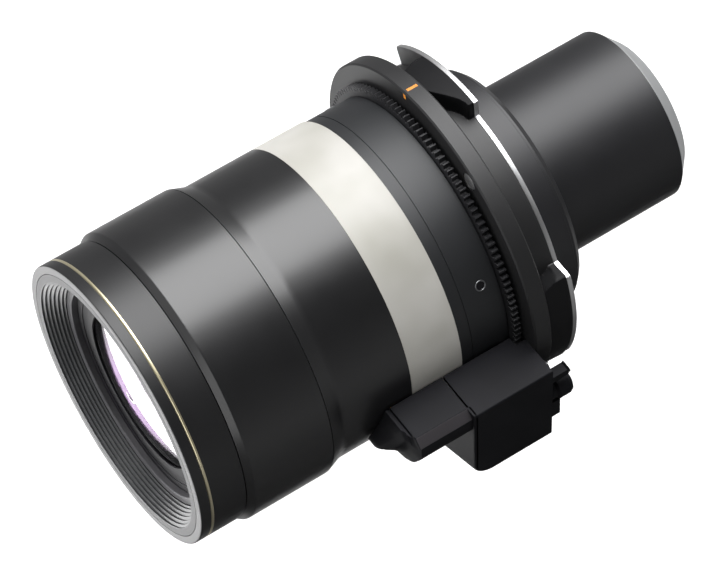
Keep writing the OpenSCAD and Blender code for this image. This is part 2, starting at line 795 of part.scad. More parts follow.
module plate_screws() color("#c4c6ca") axial() {
    around(plate_screw_count, mark_angle) translate([plate_screw_pcr, 0, neck_rear_z - plate_screw_len])
        difference() {
            union() {
                cylinder(r = flange_shank_d / 2, h = plate_screw_len + plate_t - line_inset, $fn = fine_fn);
                translate([0, 0, plate_screw_len + plate_t - plate_head_t])
                    cylinder(r = plate_head_d / 2, h = plate_head_t - line_inset, $fn = fine_fn);
            }
            translate([0, 0, plate_screw_len + plate_t - plate_head_t / 2])
                for (a = [0, 90]) rotate([0, 0, a])
                    cube([plate_head_d / 2, plate_head_d / 8, plate_head_t], center = true);
        }
}

// Rear
rear_in_r = rear_r - rear_wall;
collar_chamfer = 2.4;
module rear_ring() color("#242528") axial() {
    tube(rear_ring_r, rear_r, plate_rear_z, rear_ring_end_z);
}

module rear_collar() color("#242528") axial() {
    spun([
        [rear_r, rear_ring_end_z], [rear_ring_r - seam_w, rear_ring_end_z],
        [rear_ring_r - seam_w, collar_end_z - collar_chamfer],
        [rear_ring_r - seam_w - collar_chamfer, collar_end_z], [rear_r, collar_end_z]
    ]);
}

relay_flange_t = 3;
module relay_cell() color("#33353a") axial() {
    difference() {
        spun([
            [relay_r - cut, 0], [cell_r, 0], [cell_r, plate_rear_z - joint_gap], [rear_in_r, plate_rear_z - joint_gap],
            [rear_in_r, plate_rear_z + relay_len], [relay_r, plate_rear_z + relay_len],
            [relay_r, relay_flange_t], [relay_r - cut, relay_flange_t]
        ]);
    }
}

relay_edge_t = 8;
module relay_glass() color([0.7, 0.78, 0.8, 0.5]) axial() {
    rise = relay_r / 8;
    translate([0, 0, relay_flange_t]) element(relay_r, relay_edge_t, -rise / 2, -rise / 2);
    translate([0, 0, plate_rear_z + relay_len - relay_edge_t]) element(relay_r, relay_edge_t, -rise / 2, rise);
}

module aperture_ring() color("#141416") axial() {
    middle = plate_rear_z + relay_len / 3;
    tube(relay_r, relay_r / 2, middle, middle + cut);
}

module rear_barrel() color("#1c1d1f") axial() {
    tube(rear_r, rear_in_r, plate_rear_z, rear_end_z);
}

rear_glass_t = 7;
module rear_rim() color("#a5a7a9") axial() {
    seat = rim_len / 2;
    spun([
        [rear_clear_r, rim_end_z], [rim_r, rim_end_z], [rear_r, rear_end_z], [rear_in_r, rear_end_z],
        [rear_in_r, rear_end_z + cut], [rear_clear_r, rear_end_z + cut]
    ]);
}

module rear_glass() color([0.72, 0.76, 0.8, 0.5]) axial() {
    rise = rear_in_r / 12;
    translate([0, 0, rear_end_z + cut - rear_glass_t - rise / 2]) element(rear_in_r, rear_glass_t, -rise, rise);
}

inner_step = 17;
end_step = 10;
belly_drop = 13;

// Housing: outlines are [distance from the axis, drop below it], and run along the axis
housing_rear_z = flange_z;
housing_z = housing_rear_z - housing_len;
shelf_z = housing_z - shelf_len;
nose_z = shelf_z - nose_len;
saddle_r = mid_r + joint_gap;
housing_inner_x = flange_r - inner_step;
housing_end_x = housing_inner_x - end_step;
housing_belly = housing_depth + belly_drop;
edge_soft = 1.2;
gear_clear_r = zoom_tip_r + ring_gap;

module housing_outline(inset) {
    side = housing_reach - inset;
    polygon([
        [saddle_r / 2, inset], [side - edge_soft, inset], [side, inset + edge_soft],
        [side, housing_depth - inset - 3 * edge_soft], [side - 4 * edge_soft, housing_depth - inset],
        [housing_inner_x, housing_belly - inset], [housing_end_x + inset, housing_belly - inset - 3 * edge_soft],
        [housing_end_x + inset, saddle_r / 2], [saddle_r / 2, saddle_r / 2]
    ]);
}

// The barrel and the turning gear ring pass the housing's open inner side
module barrel_passage() {
    translate([0, 0, nose_z - cut]) cylinder(r = saddle_r, h = housing_rear_z - nose_z + 2 * cut);
    translate([0, 0, gear_front_z - ring_gap])
        cylinder(r = gear_clear_r, h = housing_rear_z - gear_front_z + ring_gap + cut);
}

module motor_housing() color("#1a1b1d") axial() {
    inside_len = housing_len - 2 * housing_wall;
    difference() {
        translate([0, 0, housing_z]) linear_extrude(housing_len) housing_outline(0);
        translate([0, 0, housing_z + housing_wall]) linear_extrude(inside_len + ring_gap)
            housing_outline(housing_wall);
        barrel_passage();
        translate([focus_axis_x, focus_drop, housing_z - cut])
            cylinder(r = bush_r, h = housing_wall + 2 * cut, $fn = fine_fn);
        rear_fixings() cylinder(r = rear_screw_d / 2, h = housing_wall + 2 * cut, $fn = fine_fn);
        translate([post_x, post_drop, housing_rear_z - housing_wall - cut])
            cylinder(r = post_d / 4, h = housing_wall + 2 * cut, $fn = fine_fn);
        translate([connector_x, connector_drop, housing_rear_z - housing_wall - cut])
            cube([connector_w, connector_h, housing_wall + 2 * cut]);
    }
}

// Screws, post and connector on the housing's rear wall, outside the flange
rear_screw_d = 2.4;
rear_screw_out = 4.6;
rear_screw_drop = 5;
low_screw_in = 7;
post_out = 5;
connector_in = 2.5;
rear_screw_head_d = 4.4;
rear_screw_head_t = 1.6;
post_x = flange_r + post_out;
post_drop = 21.6;
finger_drop = 8.2;
connector_x = flange_r - connector_in;
connector_drop = 28.2;
connector_w = 10;
connector_h = 9.6;
connector_wall = 1;
connector_len = 6.2;
screw_places = [[flange_r + rear_screw_out, rear_screw_drop], [flange_r - low_screw_in, housing_depth + cut]];
module rear_fixings() {
    for (place = screw_places)
        translate([place[0], place[1], housing_rear_z - housing_wall - cut]) children();
}

bush_r = 3;
bush_len = 3.4;
bracket_z = gear_front_z - ring_gap - bracket_t - cut;

// Shelf over the focus pinion, with a chamfered outer edge and a drooping nose
module shelf_outline(inset) {
    side = housing_reach - inset;
    polygon([
        [saddle_r / 2, inset], [side - shelf_chamfer, inset], [side, inset + shelf_chamfer],
        [side, shelf_depth - inset], [side - 2 * shelf_chamfer, shelf_belly - inset],
        [saddle_r / 2, shelf_belly - inset]
    ]);
}
shelf_belly = focus_drop + focus_pinion_r + housing_wall + 2 * ring_gap;
thin = 0.1;

module gear_cover() color("#1a1b1d") axial() {
    ridge_w = 1.2;
    ridge_h = 0.5;
    nose_drop = 4.2;
    nose_in = 11;
    nose_reach = housing_reach - nose_in;
    difference() {
        union() {
            translate([0, 0, shelf_z + shelf_chamfer]) linear_extrude(shelf_len - shelf_chamfer)
                shelf_outline(0);
            hull() {
                translate([0, 0, shelf_z + shelf_chamfer]) linear_extrude(thin) shelf_outline(0);
                translate([0, 0, shelf_z]) linear_extrude(thin) polygon([
                    [saddle_r / 2, 0], [housing_reach - 2 * shelf_chamfer, 0],
                    [housing_reach - shelf_chamfer / 2, shelf_chamfer], [housing_reach - shelf_chamfer / 2, shelf_depth],
                    [housing_reach - 2 * shelf_chamfer, shelf_belly], [saddle_r / 2, shelf_belly]
                ]);
            }
            hull() {
                translate([0, 0, shelf_z]) linear_extrude(thin)
                    polygon([
                        [saddle_r / 2, ridge_h], [nose_reach, ridge_h], [nose_reach + shelf_chamfer, shelf_chamfer],
                        [nose_reach + shelf_chamfer, shelf_depth - ridge_h], [nose_reach, shelf_depth],
                        [saddle_r / 2, shelf_depth]
                    ]);
                translate([0, 0, nose_z]) linear_extrude(thin)
                    polygon([
                        [saddle_r / 2, nose_drop], [nose_reach - shelf_chamfer, nose_drop],
                        [nose_reach, shelf_chamfer + ridge_h], [nose_reach - shelf_chamfer, shelf_depth / 2],
                        [saddle_r / 2, shelf_depth / 2]
                    ]);
            }
        }
        translate([0, 0, shelf_z + shelf_chamfer + thin]) linear_extrude(shelf_len) shelf_outline(housing_wall);
        translate([focus_axis_x, focus_drop, focus_gear_z])
            cylinder(r = focus_pinion_r + cut + ring_gap, h = shelf_chamfer + focus_gear_w, $fn = fine_fn);
        barrel_passage();
    }
}

module motor_bracket() color("#9a9ca0") axial() {
    inset = housing_wall + ring_gap;
    difference() {
        translate([0, 0, bracket_z]) linear_extrude(bracket_t) housing_outline(inset);
        translate([0, 0, bracket_z - cut]) cylinder(r = cover_r + ring_gap, h = bracket_t + 2 * cut);
        translate([zoom_axis_x, zoom_drop, bracket_z - cut])
            cylinder(r = bush_r, h = bracket_t + 2 * cut, $fn = fine_fn);
        translate([board_x - ring_gap, 0, bracket_z - cut])
            cube([housing_wall + board_t + 2 * ring_gap, housing_belly, bracket_t + 2 * cut]);
    }
    rear_fixings() bracket_boss();
}

module bracket_boss() {
    length = housing_rear_z - housing_wall - bracket_z - bracket_t;
    translate([0, 0, cut - length])
        difference() {
            cylinder(r = rear_screw_d, h = length, $fn = fine_fn);
            translate([0, 0, length / 4]) cylinder(r = rear_screw_d / 2, h = length, $fn = fine_fn);
        }
}

module motor_body(x, drop, station, length, diameter, shaft_side) {
    boss_t = 1.2;
    bore = diameter / 4 + cut;
    difference() {
        union() {
            translate([x, drop, station]) cylinder(r = diameter / 2, h = length, $fn = fine_fn);
        }
        translate([x, drop, shaft_side > 0 ? station + length - bore : station - cut])
            cylinder(r = shaft_d / 2 + slide_fit, h = bore + cut, $fn = fine_fn);
    }
}

module zoom_motor() color("#8f9196") axial() {
    motor_body(zoom_axis_x, zoom_drop, bracket_z - zoom_motor_len, zoom_motor_len, zoom_motor_d, 1);
}

module focus_motor() color("#8f9196") axial() {
    motor_body(focus_axis_x, focus_drop, housing_z + housing_wall + bush_flange_t,
        focus_motor_len, focus_motor_d, -1);
}
bush_flange_t = 0.6;

// A pinion that shows a tooth to its ring, on a shaft that runs into its motor
module zoom_pinion() color("#c9a24e") axial() {
    inset = (gear_w - pinion_w) / 2;
    translate([zoom_axis_x, zoom_drop, 0]) {
        translate([0, 0, gear_front_z + inset]) turned(zoom_angle + 180)
            linear_extrude(pinion_w) polygon(gear_points(zoom_pinion_teeth, zoom_module, 3));
        translate([0, 0, bracket_z - zoom_motor_d / 4]) cylinder(
            r = shaft_d / 2, h = gear_front_z + inset + pinion_w - bracket_z + zoom_motor_d / 4, $fn = fine_fn);
    }
}
pinion_w = 2;

module focus_pinion() color("#c9a24e") axial() {
    start = focus_gear_z + ring_gap;
    end = housing_z + housing_wall + bush_flange_t + focus_motor_d / 4;
    translate([focus_axis_x, focus_drop, start]) {
        turned(focus_angle + 180)
            linear_extrude(focus_gear_w - 2 * ring_gap)
                polygon(gear_points(focus_pinion_teeth, focus_module, 3));
        cylinder(r = shaft_d / 2, h = end - start, $fn = fine_fn);
    }
}

module shaft_bushes() color("#b0813f") axial() {
    bore = shaft_d / 2 + slide_fit;
    translate([focus_axis_x, focus_drop, 0]) {
        tube(bush_r, bore, housing_z, housing_z + housing_wall, $fn = fine_fn);
        tube(bush_r + cut, bore, housing_z + housing_wall, housing_z + housing_wall + bush_flange_t);
    }
    translate([zoom_axis_x, zoom_drop, 0])
        tube(bush_r, bore, bracket_z, bracket_z + bracket_t + thin);
}

board_x = housing_reach - housing_wall - ring_gap - board_t;
module circuit_board() color("#2f5d3a") axial() {
    margin = 3 * ring_gap;
    translate([board_x + ring_gap, housing_wall + margin + edge_soft, housing_z + housing_wall])
        cube([board_t, connector_drop + connector_h - housing_wall - margin - edge_soft,
            housing_len - 2 * housing_wall]);
}

module connector_shell() color("#101113") axial() {
    front = housing_rear_z - housing_wall + ring_gap;
    rear = housing_rear_z + connector_len;
    difference() {
        translate([connector_x, connector_drop, front]) cube([connector_w, connector_h, rear - front]);
        translate([connector_x + connector_wall, connector_drop + connector_wall, housing_rear_z])
            cube([connector_w - 2 * connector_wall, connector_h - 2 * connector_wall, connector_len + cut]);
    }
}

module connector_pins() color("#d8b45a") axial() {
    columns = 3;
    rows = 3;
    size = 0.8;
    inner_w = connector_w - 2 * connector_wall;
    inner_h = connector_h - 2 * connector_wall;
    for (i = [0 : columns - 1], j = [0 : rows - 1])
        translate([connector_x + connector_wall + inner_w * (i + 1 / 2) / columns - size / 2,
            connector_drop + connector_wall + inner_h * (j + 1 / 2) / rows - size / 2, housing_rear_z])
            cube([size, size, connector_len / 3]);
}

module guide_post() color("#3b3c40") axial() {
    neck = post_d / 4;
    dome = post_d / 5;
    groove = 1;
    translate([post_x, post_drop, housing_rear_z]) {
        translate([0, 0, -housing_wall]) cylinder(r = neck, h = housing_wall, $fn = fine_fn);
        rotate_extrude($fn = fine_fn) polygon([
            [0, 0], [post_d / 2 - groove, 0], [post_d / 2 - groove, post_len / 3],
            [post_d / 2, post_len / 3 + groove], [post_d / 2, post_len - dome],
            [post_d / 2 - dome / 3, post_len - dome / 3], [post_d / 2 - dome, post_len], [0, post_len]
        ]);
    }
}

module latch_finger() color("#2c2d30") axial() {
    height = 3.4;
    width = 4;
    length = 9.6;
    hook = 1.6;
    translate([post_x, finger_drop, housing_rear_z])
        rotate([90, 0, 90]) linear_extrude(width) polygon([
            [0, 0], [0, length - hook], [-hook / 2, length - hook / 2], [height / 2, length],
            [height, length - hook], [height, 0]
        ]);
}

module housing_screws() color("#5a5c60") axial() {
    shank = housing_rear_z - bracket_z - bracket_t - housing_wall;
    rear_fixings() translate([0, 0, cut + housing_wall])
        difference() {
            union() {
                cylinder(r = rear_screw_head_d / 2, h = rear_screw_head_t, $fn = fine_fn);
                translate([0, 0, -housing_wall - shank / 2])
                    cylinder(r = rear_screw_d / 2, h = housing_wall + shank / 2 + thin, $fn = fine_fn);
            }
            translate([0, 0, rear_screw_head_t / 2])
                for (a = [0, 90]) rotate([0, 0, a])
                    translate([-rear_screw_head_d / 4, -rear_screw_head_d / 16, 0])
                        cube([rear_screw_head_d / 2, rear_screw_head_d / 8, rear_screw_head_t]);
        }
}

front_ring();
gold_line();
ridged_baffle();
clamping_ring();
glass_retainer();
front_cell();
front_glass();
second_glass();
front_spacer();
focus_pins();
front_barrel();
mid_barrel();
cream_band();
rear_cover();
barrel_screws();
guide_tube();
focus_ring();
thrust_ring();
cam_barrel();
zoom_gear();
variator_cell();
variator_glass();
variator_pins();
compensator_cell();
compensator_glass();
compensator_pins();
mount_flange();
index_marks();
flange_screws();
bayonet_neck();
bayonet_plate();
plate_screws();
rear_ring();
rear_collar();
relay_cell();
relay_glass();
aperture_ring();
rear_barrel();
rear_rim();
rear_glass();
motor_housing();
gear_cover();
motor_bracket();
zoom_motor();
focus_motor();
zoom_pinion();
focus_pinion();
shaft_bushes();
circuit_board();
connector_shell();
connector_pins();
guide_post();
latch_finger();
housing_screws();
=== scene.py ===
"""Look of a motorised projection zoom lens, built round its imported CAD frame.

The optical axis is +Y, X points to the drive housing and Z is up. The lens is drawn in millimetres, and
its points turn into metres when they are placed. The camera and the studio are in metres. Angles go
from +X towards +Z.
"""

import json
import math

import bpy
import numpy as np
from mathutils import Euler, Matrix


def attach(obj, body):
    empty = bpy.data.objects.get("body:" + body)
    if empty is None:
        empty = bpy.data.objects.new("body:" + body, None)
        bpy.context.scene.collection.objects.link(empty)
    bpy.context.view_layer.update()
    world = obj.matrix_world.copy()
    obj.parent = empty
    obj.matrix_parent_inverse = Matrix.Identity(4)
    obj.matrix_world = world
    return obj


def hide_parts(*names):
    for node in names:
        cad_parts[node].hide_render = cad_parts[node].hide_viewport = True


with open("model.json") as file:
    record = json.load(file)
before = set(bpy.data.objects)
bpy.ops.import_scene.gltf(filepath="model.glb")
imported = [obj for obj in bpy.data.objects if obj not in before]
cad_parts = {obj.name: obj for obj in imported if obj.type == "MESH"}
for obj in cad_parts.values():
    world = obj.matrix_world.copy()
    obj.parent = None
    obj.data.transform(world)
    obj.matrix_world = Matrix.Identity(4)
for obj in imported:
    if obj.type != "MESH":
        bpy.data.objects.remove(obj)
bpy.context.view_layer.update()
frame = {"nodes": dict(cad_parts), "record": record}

MM = 0.001
AROUND = 320

# Stations along the axis, then radii. The cover's seam and the rear groove are the scene's own
FACE = -148.2
GROOVE = FACE + 4.4
GROOVE_END = FACE + 5.7
BAFFLE_BACK = FACE + 2.6
CLAMP_FRONT = -140.3
CLAMP_BACK = -136.9
RETAINER = -137.9
RETAINER_LIP = -137.2
RETAINER_BACK = -136.0
RING_END = -128.7
SLEEVE_END = RING_END + 14
BARREL = -128.4
SEAM = -91.7
MID_END = -55.4
BAND_END = -32.9
COVER_SEAM = BAND_END + 5.0
COVER_END = -11.8
PLATE = 10.8
PLATE_END = 12.7
RING_BACK = 24.6
COLLAR_END = 28.0
REAR_END = 84.5
RIM_END = 91.1
RING_R = 58.4
BARREL_R = 60.4
MID_R = 58.0
COVER_R = 57.4
BORE_R = 55.6
SLEEVE_R = BORE_R - 0.3
JOINT_R = 55.0
LIP_R = 51.4
RIDGE_END_R = 46.2
CLAMP_R = 43.0
CLEAR_R = 32.2
GLASS_R = 36.0
REGISTER_R = 49.9
REAR_R = 35.65
REAR_BORE = REAR_R - 3.1
REAR_GROOVE = REAR_R - 2.6
RIM_BORE = 26.4
RIM_FACE_R = 28.3
PLATE_BORE = 44.0

# The middle part of a noise pattern, where most of its values lie
NOISE_LOW = 0.3
NOISE_HIGH = 0.7

# An eased corner takes at most this share of a side, and one that is cut or turns less stays as it is
MOST_OF_SIDE = 0.49
LEAST_CUT = 1e-4
LEAST_TURN = 0.02


# Profiles
def eased(corners, steps=5):
    """Closed outline with its corners eased.

    A corner is (radius, station, ease). Its two sides are cut back by ease times the tangent of half the
    turn, and an arc that touches both sides joins them. Returns the points, and for each side that leaves
    a point the outward normals at its start and at its end.
    """
    pts = np.array([c[:2] for c in corners], float)
    ease = np.array([c[2] if len(c) > 2 else 0.0 for c in corners])
    x, y = pts[:, 0], pts[:, 1]
    turn_sign = np.sign(np.sum(x * np.roll(y, -1) - np.roll(x, -1) * y))
    ahead = np.roll(pts, -1, 0) - pts
    length = np.linalg.norm(ahead, axis=1)
    way = ahead / length[:, None]
    side_normal = np.stack([way[:, 1], -way[:, 0]], 1) * turn_sign
    out, before, after = [], [], []
    for i in range(len(pts)):
        came, goes = way[i - 1], way[i]
        cross = came[0] * goes[1] - came[1] * goes[0]
        angle = math.atan2(cross, float(came @ goes))
        back = ease[i] * math.tan(abs(angle) / 2)
        back = min(back, MOST_OF_SIDE * length[i - 1], MOST_OF_SIDE * length[i])
        if ease[i] <= 0 or back < LEAST_CUT or abs(angle) < LEAST_TURN:
            out.append(pts[i])
            before.append(side_normal[i - 1])
            after.append(side_normal[i])
            continue
        share = np.linspace(0, 1, steps)
        start_angle = math.atan2(came[1], came[0])
        radius = back / math.tan(abs(angle) / 2)
        heading = start_angle + angle * share
        left = np.stack([-np.sin(heading), np.cos(heading)], 1) * np.sign(angle)
        centre = pts[i] - came * back + left[0] * radius
        arc = centre - left * radius
        normal = np.stack([np.sin(heading), -np.cos(heading)], 1) * turn_sign
        out.extend(arc)
        before.extend(normal)
        after.extend(normal)
    ends = np.roll(np.array(before), -1, 0)
    return np.array(out), np.array(after), ends


def place(radius, angle, station):
    """World point in metres of a radius, an angle from +X towards +Z and a station along +Y."""
    return np.stack([radius * np.cos(angle), station + 0 * angle, radius * np.sin(angle)], -1) * MM


def mesh_object(name, verts, faces, normals=None, sharp=None):
    """Object at the origin from points, faces and, if given, the normal of each face corner."""
    mesh = bpy.data.meshes.new(name)
    rows = faces if isinstance(faces, list) else faces.tolist()
    mesh.from_pydata(verts.reshape(-1, 3).tolist(), [], rows)
    mesh.polygons.foreach_set("use_smooth", np.ones(len(mesh.polygons), bool))
    mesh.validate()
    mesh.update()
    if normals is not None:
        mesh.normals_split_custom_set(normals.reshape(-1, 3).tolist())
    elif sharp is not None:
        mesh.set_sharp_from_angle(angle=math.radians(sharp))
    piece = bpy.data.objects.new(name, mesh)
    bpy.context.scene.collection.objects.link(piece)
    return piece


def quads(rows, cols, wrap_rows=True, wrap_cols=True):
    """Four-cornered faces of a grid of points, closed in either direction if it wraps."""
    i, j = np.meshgrid(np.arange(rows - (not wrap_rows)), np.arange(cols - (not wrap_cols)), indexing="ij")
    i_on, j_on = (i + 1) % rows, (j + 1) % cols
    return np.stack([i * cols + j, i * cols + j_on, i_on * cols + j_on, i_on * cols + j], -1).reshape(-1, 4)


def facing(verts, faces):
    """A vector along each face's normal, as the order of its corners gives it."""
    points = verts.reshape(-1, 3)
    start = points[faces[:, 0]]
    return np.cross(points[faces[:, 1]] - start, points[faces[:, 3]] - start)


def spun(normal, turn):
    """Normals of an outline, carried round the optical axis."""
    return np.stack([normal[:, 0] * np.cos(turn), normal[:, 1], normal[:, 0] * np.sin(turn)], -1)


def turned(name, corners, around=AROUND, steps=5):
    """A closed outline of radius and station carried round the optical axis, with its exact normals."""
    outline, first, last = eased(corners, steps)
    angle = np.arange(around) * 2 * math.pi / around
    verts = place(outline[None, :, 0], angle[:, None], outline[None, :, 1])
    faces = quads(around, len(outline))
    here = np.repeat(angle, len(outline))
    on = np.repeat(np.roll(angle, -1), len(outline))
    first, last = np.tile(first, (around, 1)), np.tile(last, (around, 1))
    normals = np.stack([spun(first, here), spun(last, here), spun(last, on), spun(first, on)], 1)
    if np.mean(np.sum(facing(verts, faces) * normals.mean(1), 1)) < 0:
        faces = faces[:, ::-1]
        normals = normals[:, ::-1]
    return mesh_object(name, verts, faces, normals)


# Finishes
def node_tree(name):
    """A new material, its node tree and its main shader."""
    material = bpy.data.materials.new(name)
    material.use_nodes = True
    tree = material.node_tree
    return material, tree, tree.nodes["Principled BSDF"]


def noise(tree, scale, detail=3.0, stretch=(1, 1, 1), roughness=0.55):
    """Noise on the object's own coordinates, in features per metre, stretched along the axes."""
    coords = tree.nodes.new("ShaderNodeTexCoord")
    mapping = tree.nodes.new("ShaderNodeMapping")
    mapping.inputs["Scale"].default_value = stretch
    texture = tree.nodes.new("ShaderNodeTexNoise")
    texture.inputs["Scale"].default_value = scale
    texture.inputs["Detail"].default_value = detail
    texture.inputs["Roughness"].default_value = roughness
    tree.links.new(coords.outputs["Object"], mapping.inputs["Vector"])
    tree.links.new(mapping.outputs["Vector"], texture.inputs["Vector"])
    return texture.outputs["Fac"]


def spread(tree, value, low, high):
    """Map a pattern from its middle range to the span from low to high."""
    step = tree.nodes.new("ShaderNodeMapRange")
    step.inputs["From Min"].default_value = NOISE_LOW
    step.inputs["From Max"].default_value = NOISE_HIGH
    step.inputs["To Min"].default_value = low
    step.inputs["To Max"].default_value = high
    tree.links.new(value, step.inputs["Value"])
    return step.outputs["Result"]


def tint(tree, value, dark, light):
    """Colour between two tones, by a pattern."""
    ramp = tree.nodes.new("ShaderNodeValToRGB")
    ramp.color_ramp.elements[0].position = NOISE_LOW
    ramp.color_ramp.elements[1].position = NOISE_HIGH
    ramp.color_ramp.elements[0].color = (*dark, 1)
    ramp.color_ramp.elements[1].color = (*light, 1)
    tree.links.new(value, ramp.inputs["Fac"])
    return ramp.outputs["Color"]


def bump(tree, shader, value, depth):
    """Surface relief of a given depth in millimetres."""
    relief = tree.nodes.new("ShaderNodeBump")
    relief.inputs["Strength"].default_value = 1.0
    relief.inputs["Distance"].default_value = depth * MM
    tree.links.new(value, relief.inputs["Height"])
    tree.links.new(relief.outputs["Normal"], shader.inputs["Normal"])


def finish(name, dark, light, rough, grain=900, relief=0.004, metal=0.0, ior=1.5, stretch=(1, 1, 1),
           patch=45):
    """A finish with slow patches of tone, a fine grain in its relief and a gloss that varies a little."""
    material, tree, shader = node_tree(name)
    slow = noise(tree, patch, 2.0)
    fine = noise(tree, grain, 3.0, stretch)
    tree.links.new(tint(tree, slow, dark, light), shader.inputs["Base Color"])
    tree.links.new(spread(tree, slow, rough - 0.015, rough + 0.015), shader.inputs["Roughness"])
    shader.inputs["Metallic"].default_value = metal
    shader.inputs["IOR"].default_value = ior
    bump(tree, shader, fine, relief)
    return material


def glass(name, tones, rough, ior=1.52):
    """Glass whose coating goes through the given tones (distance from the axis in mm, colour)."""
    material, tree, shader = node_tree(name)
    coords = tree.nodes.new("ShaderNodeTexCoord")
    flat = tree.nodes.new("ShaderNodeMapping")
    flat.inputs["Scale"].default_value = (1, 0, 1)
    size = tree.nodes.new("ShaderNodeVectorMath")
    size.operation = "LENGTH"
    away = tree.nodes.new("ShaderNodeMapRange")
    away.inputs["From Max"].default_value = GLASS_R * MM
    tree.links.new(coords.outputs["Object"], flat.inputs["Vector"])
    tree.links.new(flat.outputs["Vector"], size.inputs[0])
    tree.links.new(size.outputs["Value"], away.inputs["Value"])
    ramp = tree.nodes.new("ShaderNodeValToRGB")
    elements = ramp.color_ramp.elements
    elements[0].color = (*tones[0][1], 1)
    elements[1].color = (*tones[-1][1], 1)
    for radius, colour in tones[1:-1]:
        elements.new(radius / GLASS_R).color = (*colour, 1)
    tree.links.new(away.outputs["Result"], ramp.inputs["Fac"])
    tree.links.new(ramp.outputs["Color"], shader.inputs["Base Color"])
    tree.links.new(spread(tree, noise(tree, 30, 1.0), rough, rough + 0.01), shader.inputs["Roughness"])
    shader.inputs["Transmission Weight"].default_value = 1.0
    shader.inputs["IOR"].default_value = ior
    return material


# Dark tone, light tone, roughness and the rest of each finish
FINISHES = {
    "satin_black": ((0.011, 0.011, 0.012), (0.013, 0.013, 0.014), 0.30, {"ior": 1.54, "relief": 0.0002}),
    "matte_black": ((0.012, 0.013, 0.015), (0.015, 0.016, 0.018), 0.50, {"ior": 1.43, "relief": 0.001}),
    "flange_black": ((0.013, 0.013, 0.014), (0.016, 0.016, 0.017), 0.48, {"ior": 1.42, "relief": 0.001}),
    "rear_black": ((0.011, 0.011, 0.013), (0.014, 0.014, 0.016), 0.46, {"ior": 1.43, "relief": 0.001}),
    "front_black": ((0.012, 0.012, 0.013), (0.015, 0.015, 0.016), 0.40, {"ior": 1.42, "relief": 0.0004}),
    "cream_satin": ((0.54, 0.53, 0.475), (0.69, 0.675, 0.635), 0.5,
        {"grain": 200, "relief": 0.004, "ior": 1.4, "patch": 34}),
    "gold_paint": ((0.58, 0.52, 0.34), (0.70, 0.64, 0.46), 0.30, {"metal": 0.8, "relief": 0.0005}),
    "baffle_grey": ((0.055, 0.056, 0.059), (0.08, 0.081, 0.085), 0.42, {"ior": 1.5, "relief": 0.001}),
    "inner_black": ((0.006, 0.006, 0.007), (0.011, 0.010, 0.013), 0.6, {"ior": 1.25, "relief": 0.002}),
    "dark_aluminium": ((0.14, 0.145, 0.15), (0.2, 0.2, 0.21), 0.4, {"metal": 0.8, "relief": 0.003}),
    "gear_plastic": ((0.014, 0.014, 0.016), (0.02, 0.02, 0.022), 0.5, {"ior": 1.36, "relief": 0.006}),
    "bright_plate": ((0.46, 0.46, 0.47), (0.62, 0.62, 0.62), 0.38,
        {"metal": 1.0, "stretch": (1, 8, 1), "relief": 0.004}),
    "orange_mark": ((0.85, 0.27, 0.02), (0.95, 0.36, 0.04), 0.5, {"relief": 0.006}),
    "silver_screw": ((0.86, 0.86, 0.87), (0.96, 0.96, 0.96), 0.38, {"metal": 1.0, "relief": 0.002}),
    "black_screw": ((0.03, 0.03, 0.032), (0.05, 0.05, 0.052), 0.3, {"metal": 0.6, "relief": 0.002}),
    "rear_grey": ((0.36, 0.37, 0.38), (0.46, 0.47, 0.48), 0.42, {"ior": 1.5, "relief": 0.002}),
    "housing_black": ((0.0075, 0.0075, 0.009), (0.011, 0.011, 0.0135), 0.5,
        {"grain": 1400, "ior": 1.16, "relief": 0.003}),
    "bracket_metal": ((0.42, 0.43, 0.44), (0.55, 0.55, 0.56), 0.35, {"metal": 1.0, "stretch": (1, 1, 10)}),
    "motor_steel": ((0.5, 0.5, 0.51), (0.62, 0.62, 0.63), 0.3, {"metal": 1.0, "stretch": (1, 10, 1)}),
    "brass": ((0.62, 0.44, 0.16), (0.76, 0.58, 0.26), 0.28, {"metal": 1.0, "relief": 0.002}),
    "pin_steel": ((0.6, 0.6, 0.61), (0.75, 0.75, 0.75), 0.25, {"metal": 1.0, "relief": 0.001}),
    "board_green": ((0.02, 0.11, 0.05), (0.035, 0.16, 0.07), 0.4, {"relief": 0.008}),
    # Painted light: a light grey for the front ring's forward face, standing in for the light that face
    # catches at this view
    "face_painted_light": ((0.29, 0.29, 0.293), (0.33, 0.33, 0.333), 0.45, {"ior": 1.12, "relief": 0.0004}),
    # Painted light: a lighter grey for the baffle's forward-facing lip, standing in for the light it catches
    "lip_painted_light": ((0.18, 0.18, 0.183), (0.22, 0.22, 0.223), 0.45, {"ior": 1.12, "relief": 0.0004}),
    # Painted shade: a darker, duller copy of the neck's black, for the ribs and their end walls
    "rib_painted_shade": ((0.0095, 0.0095, 0.0105), (0.012, 0.012, 0.013), 0.5, {"ior": 1.17, "relief": 0.001}),
    # Painted highlight: a lighter black for the cover's chamfer, which stands in for its bright edge
    "chamfer_painted_highlight": ((0.042, 0.038, 0.043), (0.050, 0.046, 0.051), 0.45, {"ior": 1.4, "relief": 0.001}),
    "clamp_dark": ((0.085, 0.084, 0.09), (0.12, 0.118, 0.125), 0.5, {"ior": 1.3, "relief": 0.001}),
}
LOOKS = {name: finish(name, dark, light, rough, **more)
         for name, (dark, light, rough, more) in FINISHES.items()}
LOOKS["coated_glass"] = glass("coated_glass", [
    (0, (0.10, 0.055, 0.12)), (14.0, (0.11, 0.06, 0.13)), (26.0, (0.12, 0.09, 0.13)),
    (GLASS_R, (0.09, 0.07, 0.10)),
], 0.05)
LOOKS["plain_glass"] = glass("plain_glass", [(0, (0.97, 0.97, 0.98)), (GLASS_R, (0.9, 0.9, 0.93))], 0.16)

